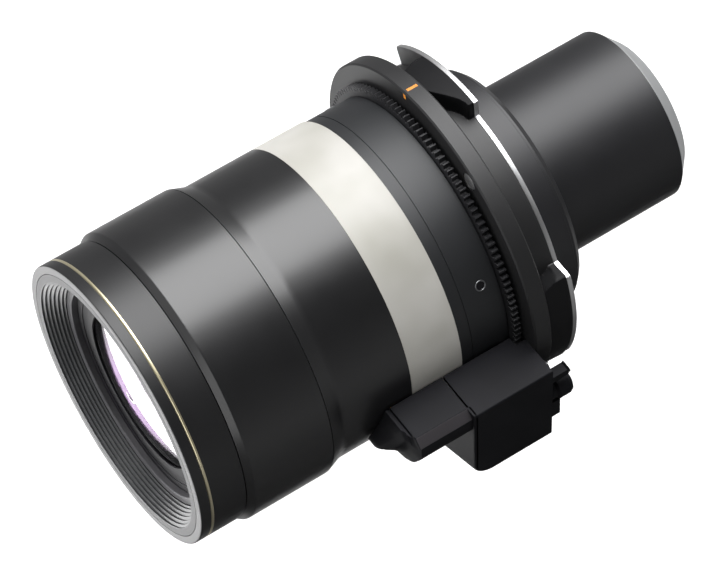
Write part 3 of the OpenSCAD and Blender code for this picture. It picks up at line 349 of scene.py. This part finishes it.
# Nodes whose finish differs from the one that their slot is named after
OWN_FINISH = {
    "clamping_ring": "clamp_dark", "mount_flange": "flange_black", "rear_cover": "matte_black",
    "bayonet_neck": "flange_black", "rear_ring": "rear_black", "rear_collar": "rear_black",
    "rear_barrel": "rear_black", "barrel_screws": "dark_aluminium",
}
BODY_OF = {node: body for body, members in frame["record"]["behaviour"]["bodies"].items() for node in members}
SLOT_OF = {part["node"]: part["material_slot"] for part in frame["record"]["subparts"]}


def look_of(node):
    """The finish of a node: its own, or the one of its slot."""
    return LOOKS[OWN_FINISH.get(node, SLOT_OF[node])]


def dress(piece, node):
    """Give a new piece its finish and its body, and hide the CAD node that it stands for."""
    piece.data.materials.clear()
    piece.data.materials.append(look_of(node))
    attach(piece, BODY_OF[node])
    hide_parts(node)
    return piece


def second_finish(piece, look, chosen):
    """Give the faces picked by chosen(centre in mm, normal) a second finish."""
    piece.data.materials.append(LOOKS[look])
    count = len(piece.data.polygons) * 3
    centre, normal = np.empty(count), np.empty(count)
    piece.data.polygons.foreach_get("center", centre)
    piece.data.polygons.foreach_get("normal", normal)
    picked = chosen(centre.reshape(-1, 3) / MM, normal.reshape(-1, 3))
    piece.data.polygons.foreach_set("material_index", picked.astype(np.int32))


def from_axis(centre):
    """Distance of face centres from the optical axis."""
    return np.hypot(centre[:, 0], centre[:, 2])


# Every CAD node gets its finish first, also the ones that stay hidden inside
for node, part in frame["nodes"].items():
    part.data.materials.clear()
    part.data.materials.append(look_of(node))

# Front group
front_ring = dress(turned("front_ring_look", [
    (JOINT_R, FACE, 0.15), (RING_R, FACE, 0.7), (RING_R, GROOVE, 0.1), (RING_R - 0.65, GROOVE),
    (RING_R - 0.65, GROOVE_END), (RING_R, GROOVE_END, 0.1), (RING_R, RING_END, 0.15), (SLEEVE_R, RING_END),
    (SLEEVE_R, SLEEVE_END), (BORE_R - 2.3, SLEEVE_END, 0.4), (BORE_R - 2.3, BAFFLE_BACK),
    (JOINT_R, BAFFLE_BACK),
]), "front_ring")
# The ring's forward face gets a light grey: painted light, not a second colour of the ring
second_finish(front_ring, "face_painted_light", lambda centre, normal: centre[:, 1] < FACE + 0.15)
dress(turned("gold_line_look", [
    (RING_R - 0.55, FACE + 4.42), (RING_R - 0.05, FACE + 5.05, 0.25), (RING_R - 0.05, FACE + 5.68, 0.08),
    (RING_R - 0.6, FACE + 5.68),
]), "gold_line")

# The baffle is a stair of ridges that narrows towards the glass
RIDGES = 6
STAIR = 7.8
STAIR_END = FACE + STAIR
ridge_w = (LIP_R - RIDGE_END_R) / RIDGES
ridge_d = STAIR / RIDGES
ridges = []
for i in range(RIDGES):
    top = LIP_R - ridge_w * i
    at = FACE + ridge_d * i
    ridges += [(top, at, 0.22), (top + 0.28, at + 0.55 * ridge_d, 0.12)]
baffle = dress(turned("ridged_baffle_look", [(JOINT_R - 0.1, FACE, 0.3)] + ridges + [
    (RIDGE_END_R, STAIR_END, 0.1), (RIDGE_END_R + 2.4, STAIR_END), (BORE_R - 2.4, BAFFLE_BACK),
    (JOINT_R - 0.1, BAFFLE_BACK),
], steps=4), "ridged_baffle")
# The baffle's forward-facing lip is painted lighter than its ridges: painted light
second_finish(baffle, "lip_painted_light", lambda centre, normal:
              (normal[:, 1] < -0.97) & (centre[:, 1] < FACE + 0.2))
dress(turned("clamping_ring_look", [
    (CLAMP_R, CLAMP_FRONT, 0.5), (RIDGE_END_R, CLAMP_FRONT, 0.1), (RIDGE_END_R, CLAMP_BACK),
    (CLAMP_R, CLAMP_BACK),
]), "clamping_ring")
step = (CLAMP_R - 0.1 - CLEAR_R) / 3
dress(turned("glass_retainer_look", [
    (CLEAR_R, RETAINER, 0.2), (CLEAR_R + step, RETAINER, 0.1), (CLEAR_R + step, RETAINER + 0.3, 0.1),
    (CLEAR_R + 2 * step, RETAINER + 0.3, 0.1), (CLEAR_R + 2 * step, RETAINER, 0.15),
    (CLAMP_R - 0.1, RETAINER, 0.15), (CLAMP_R - 0.1, CLAMP_BACK), (GLASS_R, CLAMP_BACK),
    (GLASS_R, RETAINER_BACK), (CLEAR_R, RETAINER_LIP),
]), "glass_retainer")

# Barrels
dress(turned("front_barrel_look", [
    (BORE_R, BARREL), (RING_R, BARREL, 0.15), (BARREL_R, BARREL + 2.6, 1.2), (BARREL_R, SEAM - 0.3, 0.08),
    (BARREL_R - 0.6, SEAM - 0.3), (BARREL_R - 0.6, SEAM), (BORE_R, SEAM),
]), "front_barrel")
dress(turned("mid_barrel_look", [
    (BORE_R, SEAM), (BARREL_R, SEAM, 0.12), (MID_R, SEAM + 6.6, 8.0), (MID_R, MID_END, 0.12),
    (BORE_R, MID_END),
]), "mid_barrel")
dress(turned("cream_band_look", [
    (BORE_R, MID_END), (MID_R, MID_END, 0.15), (MID_R, BAND_END, 0.25), (BORE_R, BAND_END),
]), "cream_band")
dress(turned("rear_cover_look", [
    (BORE_R, BAND_END), (COVER_R, BAND_END, 0.1), (COVER_R, COVER_SEAM, 0.08), (COVER_R - 0.3, COVER_SEAM),
    (COVER_R - 0.3, COVER_SEAM + 0.3), (COVER_R, COVER_SEAM + 0.3, 0.08), (COVER_R, COVER_END, 0.2),
    (BORE_R, COVER_END),
]), "rear_cover")

# Bayonet: the radius is a function of angle and station. Each lug has its first and last angle, then
# the degrees that its low end and its high end take to rise
NECK_R = 59.3
LUG_R = 67.0
PLATE_LUGS = [(-24.0, 25.0, 4.0, 4.0), (86.5, 139.5, 1.0, 4.0), (212.5, 261.5, 4.0, 4.0)]
NECK_LUGS = [(-24.0, 25.0, 4.0, 4.0), (86.5, 119.4, 16.0, 5.0), (212.5, 261.5, 12.0, 12.0)]


def rise(value, start, width):
    """Smooth step from 0 to 1 that is centred on start."""
    t = np.clip((value - start) / width + 0.5, 0, 1)
    return t * t * (3 - 2 * t)


def from_ends(angle, first, last):
    """Degrees from a lug's first and from its last angle, both positive inside the lug."""
    middle = (first + last) / 2
    here = (angle - middle + 180) % 360 - 180
    half = (last - first) / 2
    return here + half, half - here


def plate_lugs(angle, station):
    """Height share of the plate's lugs: each end rises over its own few degrees."""
    total = np.zeros_like(angle + station)
    for first, last, low_rise, high_rise in PLATE_LUGS:
        low, high = from_ends(angle, first, last)
        total = np.maximum(total, rise(low, low_rise / 2, low_rise) * rise(high, high_rise / 2, high_rise))
    return total


def neck_lugs(angle, station):
    """Height share of the neck's ribs.

    A rib starts as a thin lip behind the plate. Its front edge then runs forwards over the ramp's angle at
    either end, until the rib has the neck's full length.
    """
    thin = 2.0
    total = np.zeros_like(angle + station)
    for first, last, low_ramp, high_ramp in NECK_LUGS:
        low, high = from_ends(angle, first, last)
        body = rise(low, 0.6, 1.2) * rise(high, 1.5, 2.6)
        grown = rise(low, 1.0 + low_ramp / 2, low_ramp) * rise(high, 1.0 + high_ramp / 2, high_ramp)
        front = (PLATE - thin) * (1 - grown) - 0.6
        total = np.maximum(total, body * rise(station, front, 0.9))
    return total


def lugged(name, section, height, bore, around=1440):
    """Wall round the axis whose radius swells at the lugs.

    The section lists (station, inset): the radius at a station is the neck's plus the lug's height there,
    less the inset that eases the edges. The bore closes it.
    """
    angle = np.arange(around) * 360.0 / around
    station, inset = np.array(section, float).T
    wall = NECK_R + (LUG_R - NECK_R) * height(angle[:, None], station[None, :]) - inset
    hole = np.full((around, 1), bore)
    radius = np.concatenate([hole, wall, hole], 1)
    stations = np.concatenate([[station[0]], station, [station[-1]]])
    verts = place(radius, np.radians(angle)[:, None], stations[None, :] + 0 * radius)
    count = radius.shape[1]
    faces = quads(around, count)
    column = np.tile(np.arange(count), around)
    outer = faces[(column >= 1) & (column < count - 2)]
    middle = verts.reshape(-1, 3)[outer].mean(1)
    if np.sum((facing(verts, outer) * middle)[:, [0, 2]]) < 0:
        faces = faces[:, ::-1]
    return mesh_object(name, verts, faces, sharp=32)


neck_stations = [(y, 0.0) for y in np.arange(-0.2, 10.5, 0.3)]
neck_stations += [(10.55, 0.05), (10.7, 0.12), (PLATE, 0.25)]
neck = dress(lugged("bayonet_neck_look", neck_stations, neck_lugs, PLATE_BORE), "bayonet_neck")
# The ribs, end walls included, take a darker, duller black than the rest of the neck: painted shade
second_finish(neck, "rib_painted_shade", lambda centre, normal: from_axis(centre) > NECK_R + 0.4)
dress(lugged("bayonet_plate_look", [
    (PLATE, 0.15), (PLATE + 0.1, 0.04), (PLATE + 0.2, 0), (PLATE_END - 0.3, 0), (PLATE_END - 0.12, 0.06),
    (PLATE_END, 0.25),
], plate_lugs, PLATE_BORE), "bayonet_plate")

# Rear
dress(turned("rear_ring_look", [
    (REAR_R, PLATE_END), (REGISTER_R, PLATE_END), (REGISTER_R, RING_BACK, 0.25), (REAR_R, RING_BACK),
]), "rear_ring")
dress(turned("rear_collar_look", [
    (REAR_R, RING_BACK), (REGISTER_R - 0.3, RING_BACK, 0.1), (REGISTER_R - 0.3, COLLAR_END - 2.4, 0.4),
    (REGISTER_R - 2.7, COLLAR_END, 0.4), (REAR_R, COLLAR_END),
]), "rear_collar")
dress(turned("rear_barrel_look", [
    (REAR_BORE, PLATE_END), (REAR_R, PLATE_END), (REAR_R, COLLAR_END), (REAR_GROOVE, COLLAR_END + 0.2),
    (REAR_GROOVE, COLLAR_END + 3.2), (REAR_R, COLLAR_END + 3.9, 0.2), (REAR_R, REAR_END, 0.15),
    (REAR_BORE, REAR_END),
]), "rear_barrel")
dress(turned("rear_rim_look", [
    (RIM_BORE, RIM_END, 0.3), (RIM_FACE_R, RIM_END, 0.8), (REAR_R, REAR_END, 0.3), (REAR_BORE, REAR_END),
    (REAR_BORE, REAR_END + 1), (RIM_BORE, REAR_END + 1),
]), "rear_rim")

# Screws, each a profile of (distance from its own axis, height) turned round that axis
COVER_SCREWS = [30.5, 150.5, 270.5]
COVER_SCREW_Y = -18.8
FLANGE_SCREWS = [66, 186, 306]
FLANGE_SCREW_R = 64.0
FLANGE_SEAT = -5.2


def studs(name, profile, spots, base, sunk, around=28):
    """Round heads: every point is base(spot, east, north, height), with east and north from the profile.

    The profile runs from the rim at the bottom to the middle of the top. Two points close each head, one
    in the middle of its top and one sunk below it.
    """
    turn = np.arange(around) * 2 * math.pi / around
    reach, height = np.array(profile, float).T
    rings = len(reach)
    verts, faces = [], []
    for k, spot in enumerate(spots):
        east = reach[:, None] * np.cos(turn)[None, :]
        north = reach[:, None] * np.sin(turn)[None, :]
        body = base(spot, east, north, height[:, None] + 0 * east).reshape(-1, 3)
        zero = np.zeros(2)
        caps = base(spot, zero, zero, np.array([height[-1], sunk]))
        start = k * (rings * around + 2)
        faces += (quads(rings, around, wrap_rows=False) + start).tolist()
        edge, nxt = np.arange(around), (np.arange(around) + 1) % around
        last = (rings - 1) * around
        top = np.stack([last + edge, last + nxt, np.full(around, rings * around)], -1)
        low = np.stack([nxt, edge, np.full(around, rings * around + 1)], -1)
        faces += (top + start).tolist() + (low + start).tolist()
        verts.append(np.concatenate([body, caps]))
    return mesh_object(name, np.concatenate(verts), faces, sharp=35)


def on_cover(angle, east, north, height):
    """A spot on the rear cover: east runs along the axis, north round it, height outwards."""
    return place(COVER_R + height, math.radians(angle) + north / COVER_R, COVER_SCREW_Y + east)


def on_flange(angle, east, north, height):
    """A spot on the flange's front face: height runs forwards, along -Y."""
    x = FLANGE_SCREW_R * math.cos(math.radians(angle)) + north
    z = FLANGE_SCREW_R * math.sin(math.radians(angle)) + east
    return np.stack([x, FLANGE_SEAT - height, z], -1) * MM


cover_screws = dress(studs("barrel_screws_look", [
    (2.3, -0.3), (2.3, 0.02), (2.18, 0.18), (2.0, 0.22), (1.82, 0.18), (1.72, 0.04), (1.5, 0.03), (1.2, 0.03),
], COVER_SCREWS, on_cover, -0.4), "barrel_screws")
# The flat middle of each head takes the black inside finish: painted shade in place of a socket's depth. The
# part sunk in the cover takes it too.
second_finish(cover_screws, "inner_black", lambda centre, normal: from_axis(centre) < COVER_R + 0.06)
dress(studs("flange_screws_look", [
    (3.5, 0), (3.5, 1.85), (3.4, 2.05), (3.2, 2.15), (1.2, 2.2), (0.5, 2.2),
], FLANGE_SCREWS, on_flange, -0.1), "flange_screws")


# Drive housing: sections across the axis, each with rounded corners, joined along the stations
def rounded(corners, steps=6):
    """Sections of x, z from corners (stations, corner, x z cut).

    The cut is how far a corner's rounding reaches along its two sides. A rounding is the curve
    (1-t)^2 a + 2t(1-t) c + t^2 b from its start a past the corner c to its end b.
    """
    point, cut = corners[..., :2], corners[..., 2:]
    came = np.roll(point, 1, 1) - point
    goes = np.roll(point, -1, 1) - point
    came_length = np.linalg.norm(came, axis=2, keepdims=True)
    goes_length = np.linalg.norm(goes, axis=2, keepdims=True)
    first = point + came / came_length * np.minimum(cut, 0.45 * came_length)
    last = point + goes / goes_length * np.minimum(cut, 0.45 * goes_length)
    t = np.linspace(0, 1, steps)[None, None, :, None]
    curve = (1 - t) ** 2 * first[:, :, None] + 2 * t * (1 - t) * point[:, :, None] + t ** 2 * last[:, :, None]
    return curve.reshape(len(corners), -1, 2)


def lofted(name, parts, sharp=30):
    """Closed pieces in one mesh, each a row of sections (x, z) at stations with an end face at both ends."""
    verts, faces, start = [], [], 0
    for stations, sections in parts:
        rows, count = sections.shape[:2]
        y = np.broadcast_to(np.array(stations, float)[:, None], (rows, count))
        points = np.stack([sections[..., 0], y, sections[..., 1]], -1).reshape(-1, 3) * MM
        walls = quads(rows, count, wrap_rows=False)
        edge = np.arange(count)
        ends = [edge[::-1], (rows - 1) * count + edge]
        a, b, c, d = (points[walls[:, k]] for k in range(4))
        volume = np.sum(np.cross(a, b) * c) + np.sum(np.cross(a, c) * d)
        for end in ends:
            p = points[end]
            volume += np.sum(np.cross(p[:1], p[1:-1]) * p[2:])
        if volume < 0:
            walls = walls[:, ::-1]
            ends = [end[::-1] for end in ends]
        faces += (walls + start).tolist() + [(end + start).tolist() for end in ends]
        verts.append(points)
        start += len(points)
    return mesh_object(name, np.concatenate(verts), faces, sharp=sharp)


# The deep box: its side, the barrel's and the gear's clearance circles, then its stations and depths
SIDE = 80.0
SADDLE = 58.5
GEAR_CLEAR = 62.4
HOUSING = -42.7
DEPTH_SIDE = 43.0
DEPTH_BELLY = 55.9
END_X = 42.2
BELLY_X = 52.0
WALL = 1.8
GEAR_CUT = -12.05
WALL_FRONT = -8.8
HOUSING_END = -7.5
LOW_EDGE = 9.0
FRONT_EDGE = 0.8


def arc_x(radius, z):
    """Where a circle round the axis meets a level."""
    return np.sqrt(radius ** 2 - z ** 2)


def corner_row(*corners):
    """Corners (x, z, cut) of every section, each value a number or one per station."""
    size = max(np.size(v) for corner in corners for v in corner)
    return np.stack([np.stack([np.broadcast_to(np.asarray(v, float), (size,)) for v in corner], -1)
                     for corner in corners], 1)


def box_corners(y, inset):
    """Outer path of the deep box at its stations: deck, side, belly, end.

    The lower front edge is a quarter circle of LOW_EDGE and the side's front edge one of FRONT_EDGE.
    """
    low = np.clip(LOW_EDGE - (y - HOUSING), 0, LOW_EDGE)
    lift = LOW_EDGE - np.sqrt(np.maximum(LOW_EDGE ** 2 - low ** 2, 0))
    front = np.clip(FRONT_EDGE - (y - HOUSING), 0, FRONT_EDGE)
    side = SIDE - inset - (FRONT_EDGE - np.sqrt(np.maximum(FRONT_EDGE ** 2 - front ** 2, 0)))
    bore = np.where(y > GEAR_CUT, GEAR_CLEAR, SADDLE)
    belly = -(DEPTH_BELLY - inset - lift)
    return [
        (arc_x(bore, -inset + 0 * y), -inset, 0.05), (side, -inset, 1.0),
        (side, -(DEPTH_SIDE - inset - lift), 2.0),
        (BELLY_X, belly, 2.5), (END_X + inset, belly + 3.0, 1.5),
        (END_X + inset, -np.sqrt(bore ** 2 - (END_X + inset) ** 2), 0.05),
    ]


def shelf_corners(inset, side=78.5, top=0.0, low=-10.0, mid=(73.0, -19.5), under=(66.0, -24.6),
                  chamfer=3.5):
    """Outer path of the shelf over the focus pinion: deck, chamfer, side, slanted belly."""
    floor = under[1] + inset
    return [
        (arc_x(SADDLE, top - inset), top - inset, 0.05), (side - chamfer - 0.4 * inset, top - inset, 0.5),
        (side - inset, top - chamfer - 0.4 * inset, 0.8), (side - inset, low + 0.2 * inset, 2.0),
        (mid[0] - 0.9 * inset, mid[1] + 0.6 * inset, 3.0), (under[0] - 0.3 * inset, floor, 3.0),
        (arc_x(SADDLE, floor), floor, 0.05),
    ]


box_y = np.concatenate([np.linspace(HOUSING + 0.8, HOUSING + 9, 12), [-30, -20, -12.1, -12.0, WALL_FRONT]])
shell = rounded(corner_row(*box_corners(box_y, 0.0), *box_corners(box_y, WALL)[::-1]))
face_y = HOUSING + np.array([0, 0.1, 0.25, 0.45, 0.8, 1.4])
shelf_edge = [(x - 0.6, min(z + 0.6, 0.0), cut) for x, z, cut in shelf_corners(0.0)[1:-1]]
front_face = rounded(corner_row(*box_corners(face_y, 0.0)[1:],
                                (arc_x(SADDLE, -24.0), -24.0, 0.05), *shelf_edge[::-1]))
back_y = np.array([WALL_FRONT, HOUSING_END])
back_wall = rounded(corner_row(*box_corners(back_y, 0.0), (arc_x(GEAR_CLEAR, -30.0), -30.0, 0.05),
                               (arc_x(GEAR_CLEAR, -15.0), -15.0, 0.05)))
dress(lofted("motor_housing_look", [
    (box_y, shell), (face_y, front_face), (back_y, back_wall),
]), "motor_housing")

# The shelf, and the nose in front of it, which is read off between a few rows
NOSE_TIP = -74.2
SHELF = -65.4
NOSE_ROWS = [NOSE_TIP, -72, -69, -67.4, SHELF]
shelf_y = np.array([-65.45, -60.0, -50.0, HOUSING + 0.05])
flat = np.zeros(4)
shelf_shell = rounded(corner_row(*shelf_corners(flat), *shelf_corners(flat + 0.9)[::-1]))
nose_y = np.concatenate([np.linspace(NOSE_TIP, -68.0, 18), [
    -67.8, -67.5, -67.2, -67.0, -66.85, -66.4, -66.0, -65.85, -65.7, -65.5, SHELF]])


def along_nose(values, rows=NOSE_ROWS):
    """A value at each station of the nose, from its values at the rows."""
    return np.interp(nose_y, rows, values)


top = along_nose([-15.2, -13.8, -11.4, -8.6, -5.4, -2.2, -0.4, -0.3, -1.2, -1.2, 0],
                 [NOSE_TIP, -73.6, -72.4, -71, -69.6, -68.5, -67.9, -67.0, -66.85, -65.9, -65.7])
edge = along_nose([61.8, 63.8, 66.6, 69.2, 70.8, 72.0, 73.4, 76.2, 78.5],
                  [NOSE_TIP, -73.6, -72, -70, -68.6, -67.8, -67.2, -66.3, SHELF])
low = along_nose([-15.8, -12, -9.6, -8.4, -10])
mid = (along_nose([61, 65, 68, 70, 73]), along_nose([-16.2, -15.2, -14.4, -14.8, -19.5]))
under = (along_nose([60.4, 61.8, 63, 64, 66]), along_nose([-16.8, -18.4, -19.8, -20.8, -24.6]))
slope = along_nose([0.6, 2.0, 3.2, 3.5], [NOSE_TIP, -72, -67.4, SHELF])
half = (top + under[1]) / 2
nose = rounded(corner_row(*shelf_corners(0 * nose_y, edge, top, low, mid, under, slope),
                          (arc_x(SADDLE, half), half, 0.05)))
cover = dress(lofted("gear_cover_look", [(shelf_y, shelf_shell), (nose_y, nose)]), "gear_cover")
# The cover's faces that turn up and outwards near the front get a lighter black: a painted highlight on the
# chamfer
second_finish(cover, "chamfer_painted_highlight", lambda centre, normal:
              (normal[:, 0] > 0.45) & (normal[:, 2] > 0.45) & (centre[:, 1] > -66) & (centre[:, 2] > -4))

# Camera
CAMERA_AT = (0.7478302, -0.5028449, 1.2759839)
CAMERA_TURN = (34.27693, 1.51148, 56.02601)
camera_data = bpy.data.cameras.new("camera")
camera_data.lens = 206.245
camera_data.sensor_width = 36
camera_data.clip_start = 0.05
camera_data.clip_end = 20
camera = bpy.data.objects.new("camera", camera_data)
camera.location = CAMERA_AT
camera.rotation_euler = Euler([math.radians(a) for a in CAMERA_TURN], "XYZ")
bpy.context.scene.collection.objects.link(camera)
bpy.context.scene.camera = camera
bpy.context.scene.view_settings.view_transform = "Standard"


# Studio
def lamp(name, centre, target, size, power, diffuse=True, gloss=True):
    """A soft rectangular lamp that faces a target, seen by reflections, by matte surfaces, or by both."""
    data = bpy.data.lights.new(name, "AREA")
    data.shape = "RECTANGLE"
    data.size, data.size_y = size
    data.energy = power
    light = bpy.data.objects.new(name, data)
    bpy.context.scene.collection.objects.link(light)
    way = np.array(target, float) - np.array(centre, float)
    way /= np.linalg.norm(way)
    across = np.cross([0.0, 1.0, 0.0], -way)
    across /= np.linalg.norm(across)
    up = np.cross(-way, across)
    turn = Matrix([[across[k], up[k], -way[k]] for k in range(3)])
    light.matrix_world = Matrix.Translation(centre) @ turn.to_4x4()
    light.visible_camera = False
    light.visible_diffuse = diffuse
    light.visible_glossy = gloss


def toward(angle, distance, station):
    """A point over the optical axis at an angle from +X towards +Z."""
    return (distance * math.cos(math.radians(angle)), station, distance * math.sin(math.radians(angle)))


def shine(level, size):
    """Watts that give a lamp of this size a given brightness."""
    return level * math.pi * size[0] * size[1]


def larger(tree, first, second):
    """The larger of two values."""
    pick = tree.nodes.new("ShaderNodeMath")
    pick.operation = "MAXIMUM"
    tree.links.new(first, pick.inputs[0])
    tree.links.new(second, pick.inputs[1])
    return pick.outputs[0]


GLOSS_BOX = (1.25, 2.6)
SIDE_BOX = (0.24, 0.09)
LOW_BOX = (0.30, 0.10)
lamp("gloss_box", toward(105, 1.3, 0.45), (0, 0, 0), GLOSS_BOX, shine(7.3, GLOSS_BOX), diffuse=False)
lamp("key_box", toward(98, 1.6, 0.1), (0, 0, 0), (1.2, 1.4), 24, gloss=False)
lamp("front_box", (-0.9, -1.5, 0.5), (0, -0.1, 0), (0.9, 0.9), 19, gloss=False)
lamp("side_box", (0.145, -0.306, 0.076), (0.04, -0.13, 0.042), SIDE_BOX, shine(2.2, SIDE_BOX), diffuse=False)
lamp("low_box", (-0.155, -0.279, -0.257), (0, -0.14, 0), LOW_BOX, shine(7, LOW_BOX), diffuse=False)

# The room is white to the camera and in reflections, and lights matte surfaces only weakly
ROOM_LIGHT = 0.20
world = bpy.data.worlds.new("studio")
bpy.context.scene.world = world
world.use_nodes = True
tree = world.node_tree
tree.nodes.clear()
out = tree.nodes.new("ShaderNodeOutputWorld")
rays = tree.nodes.new("ShaderNodeLightPath").outputs
mix = tree.nodes.new("ShaderNodeMixShader")
seen = larger(tree, rays["Is Camera Ray"], rays["Is Glossy Ray"])
tree.links.new(larger(tree, seen, rays["Is Transmission Ray"]), mix.inputs["Fac"])
for spot, strength in ((1, ROOM_LIGHT), (2, 1.0)):
    shade = tree.nodes.new("ShaderNodeBackground")
    shade.inputs["Color"].default_value = (1, 1, 1, 1)
    shade.inputs["Strength"].default_value = strength
    tree.links.new(shade.outputs[0], mix.inputs[spot])
tree.links.new(mix.outputs[0], out.inputs["Surface"])

# Floor: a wide pale plane well under the lens, with a glow added for the camera
FLOOR_Z = -0.32
FLOOR_HALF = 6.0
FLOOR_ROWS = 9
FLOOR_GLOW = 0.55
span = np.linspace(-FLOOR_HALF, FLOOR_HALF, FLOOR_ROWS)
fx, fy = np.meshgrid(span, span, indexing="ij")
floor = mesh_object("floor", np.stack([fx, fy, np.full_like(fx, FLOOR_Z)], -1),
                    quads(FLOOR_ROWS, FLOOR_ROWS, False, False)[:, ::-1])
pale, tree, shader = node_tree("pale_floor")
shader.inputs["Roughness"].default_value = 0.9
shader.inputs["Specular IOR Level"].default_value = 0.0
floor_tone = tint(tree, noise(tree, 3, 1.0), (0.80, 0.80, 0.80), (0.82, 0.82, 0.82))
tree.links.new(floor_tone, shader.inputs["Base Color"])
rays = tree.nodes.new("ShaderNodeLightPath").outputs
glow = tree.nodes.new("ShaderNodeEmission")
glow.inputs["Strength"].default_value = FLOOR_GLOW
add = tree.nodes.new("ShaderNodeAddShader")
mix = tree.nodes.new("ShaderNodeMixShader")
tree.links.new(larger(tree, rays["Is Camera Ray"], rays["Is Transmission Ray"]), mix.inputs["Fac"])
tree.links.new(shader.outputs[0], add.inputs[0])
tree.links.new(glow.outputs[0], add.inputs[1])
tree.links.new(shader.outputs[0], mix.inputs[1])
tree.links.new(add.outputs[0], mix.inputs[2])
tree.links.new(mix.outputs[0], tree.nodes["Material Output"].inputs["Surface"])
floor.data.materials.append(pale)

# Grey cards at the right and at the left, seen only in reflections, as a studio's flags
FLAG_R = 0.3


def flag(name, first, last, levels, rows=40, cols=20):
    """A bent card round the optical axis, from one angle to another, whose tone goes by its height."""
    turn, along = np.meshgrid(np.radians(np.linspace(first, last, rows)), np.linspace(-0.9, 1.2, cols),
                              indexing="ij")
    verts = np.stack([FLAG_R * np.cos(turn), along, FLAG_R * np.sin(turn)], -1)
    card = mesh_object(name, verts, quads(rows, cols, False, False)[:, ::-1])
    material, tree, _ = node_tree(name)
    coords = tree.nodes.new("ShaderNodeTexCoord")
    parts = tree.nodes.new("ShaderNodeSeparateXYZ")
    height = tree.nodes.new("ShaderNodeMapRange")
    height.inputs["From Min"].default_value = -FLAG_R
    height.inputs["From Max"].default_value = FLAG_R
    ramp = tree.nodes.new("ShaderNodeValToRGB")
    elements = ramp.color_ramp.elements
    elements[0].position, elements[1].position = levels[0][0], levels[-1][0]
    elements[0].color = (levels[0][1],) * 3 + (1,)
    elements[1].color = (levels[-1][1],) * 3 + (1,)
    for position, level in levels[1:-1]:
        elements.new(position).color = (level, level, level, 1)
    glow = tree.nodes.new("ShaderNodeEmission")
    tree.links.new(coords.outputs["Object"], parts.inputs[0])
    tree.links.new(parts.outputs["Z"], height.inputs["Value"])
    tree.links.new(height.outputs["Result"], ramp.inputs["Fac"])
    tree.links.new(ramp.outputs["Color"], glow.inputs["Color"])
    tree.links.new(glow.outputs[0], tree.nodes["Material Output"].inputs["Surface"])
    card.data.materials.append(material)
    card.visible_camera = False
    card.visible_diffuse = False
    card.visible_shadow = False
    card.visible_transmission = False


flag("right_flag", -85, 66,
     [(0.0, 0.03), (0.25, 0.20), (0.42, 0.42), (0.55, 0.32), (0.75, 0.10), (1.0, 0.04)])
flag("left_flag", 140, 205, [(0.0, 0.5), (0.3, 0.35), (0.6, 0.28), (1.0, 0.3)])
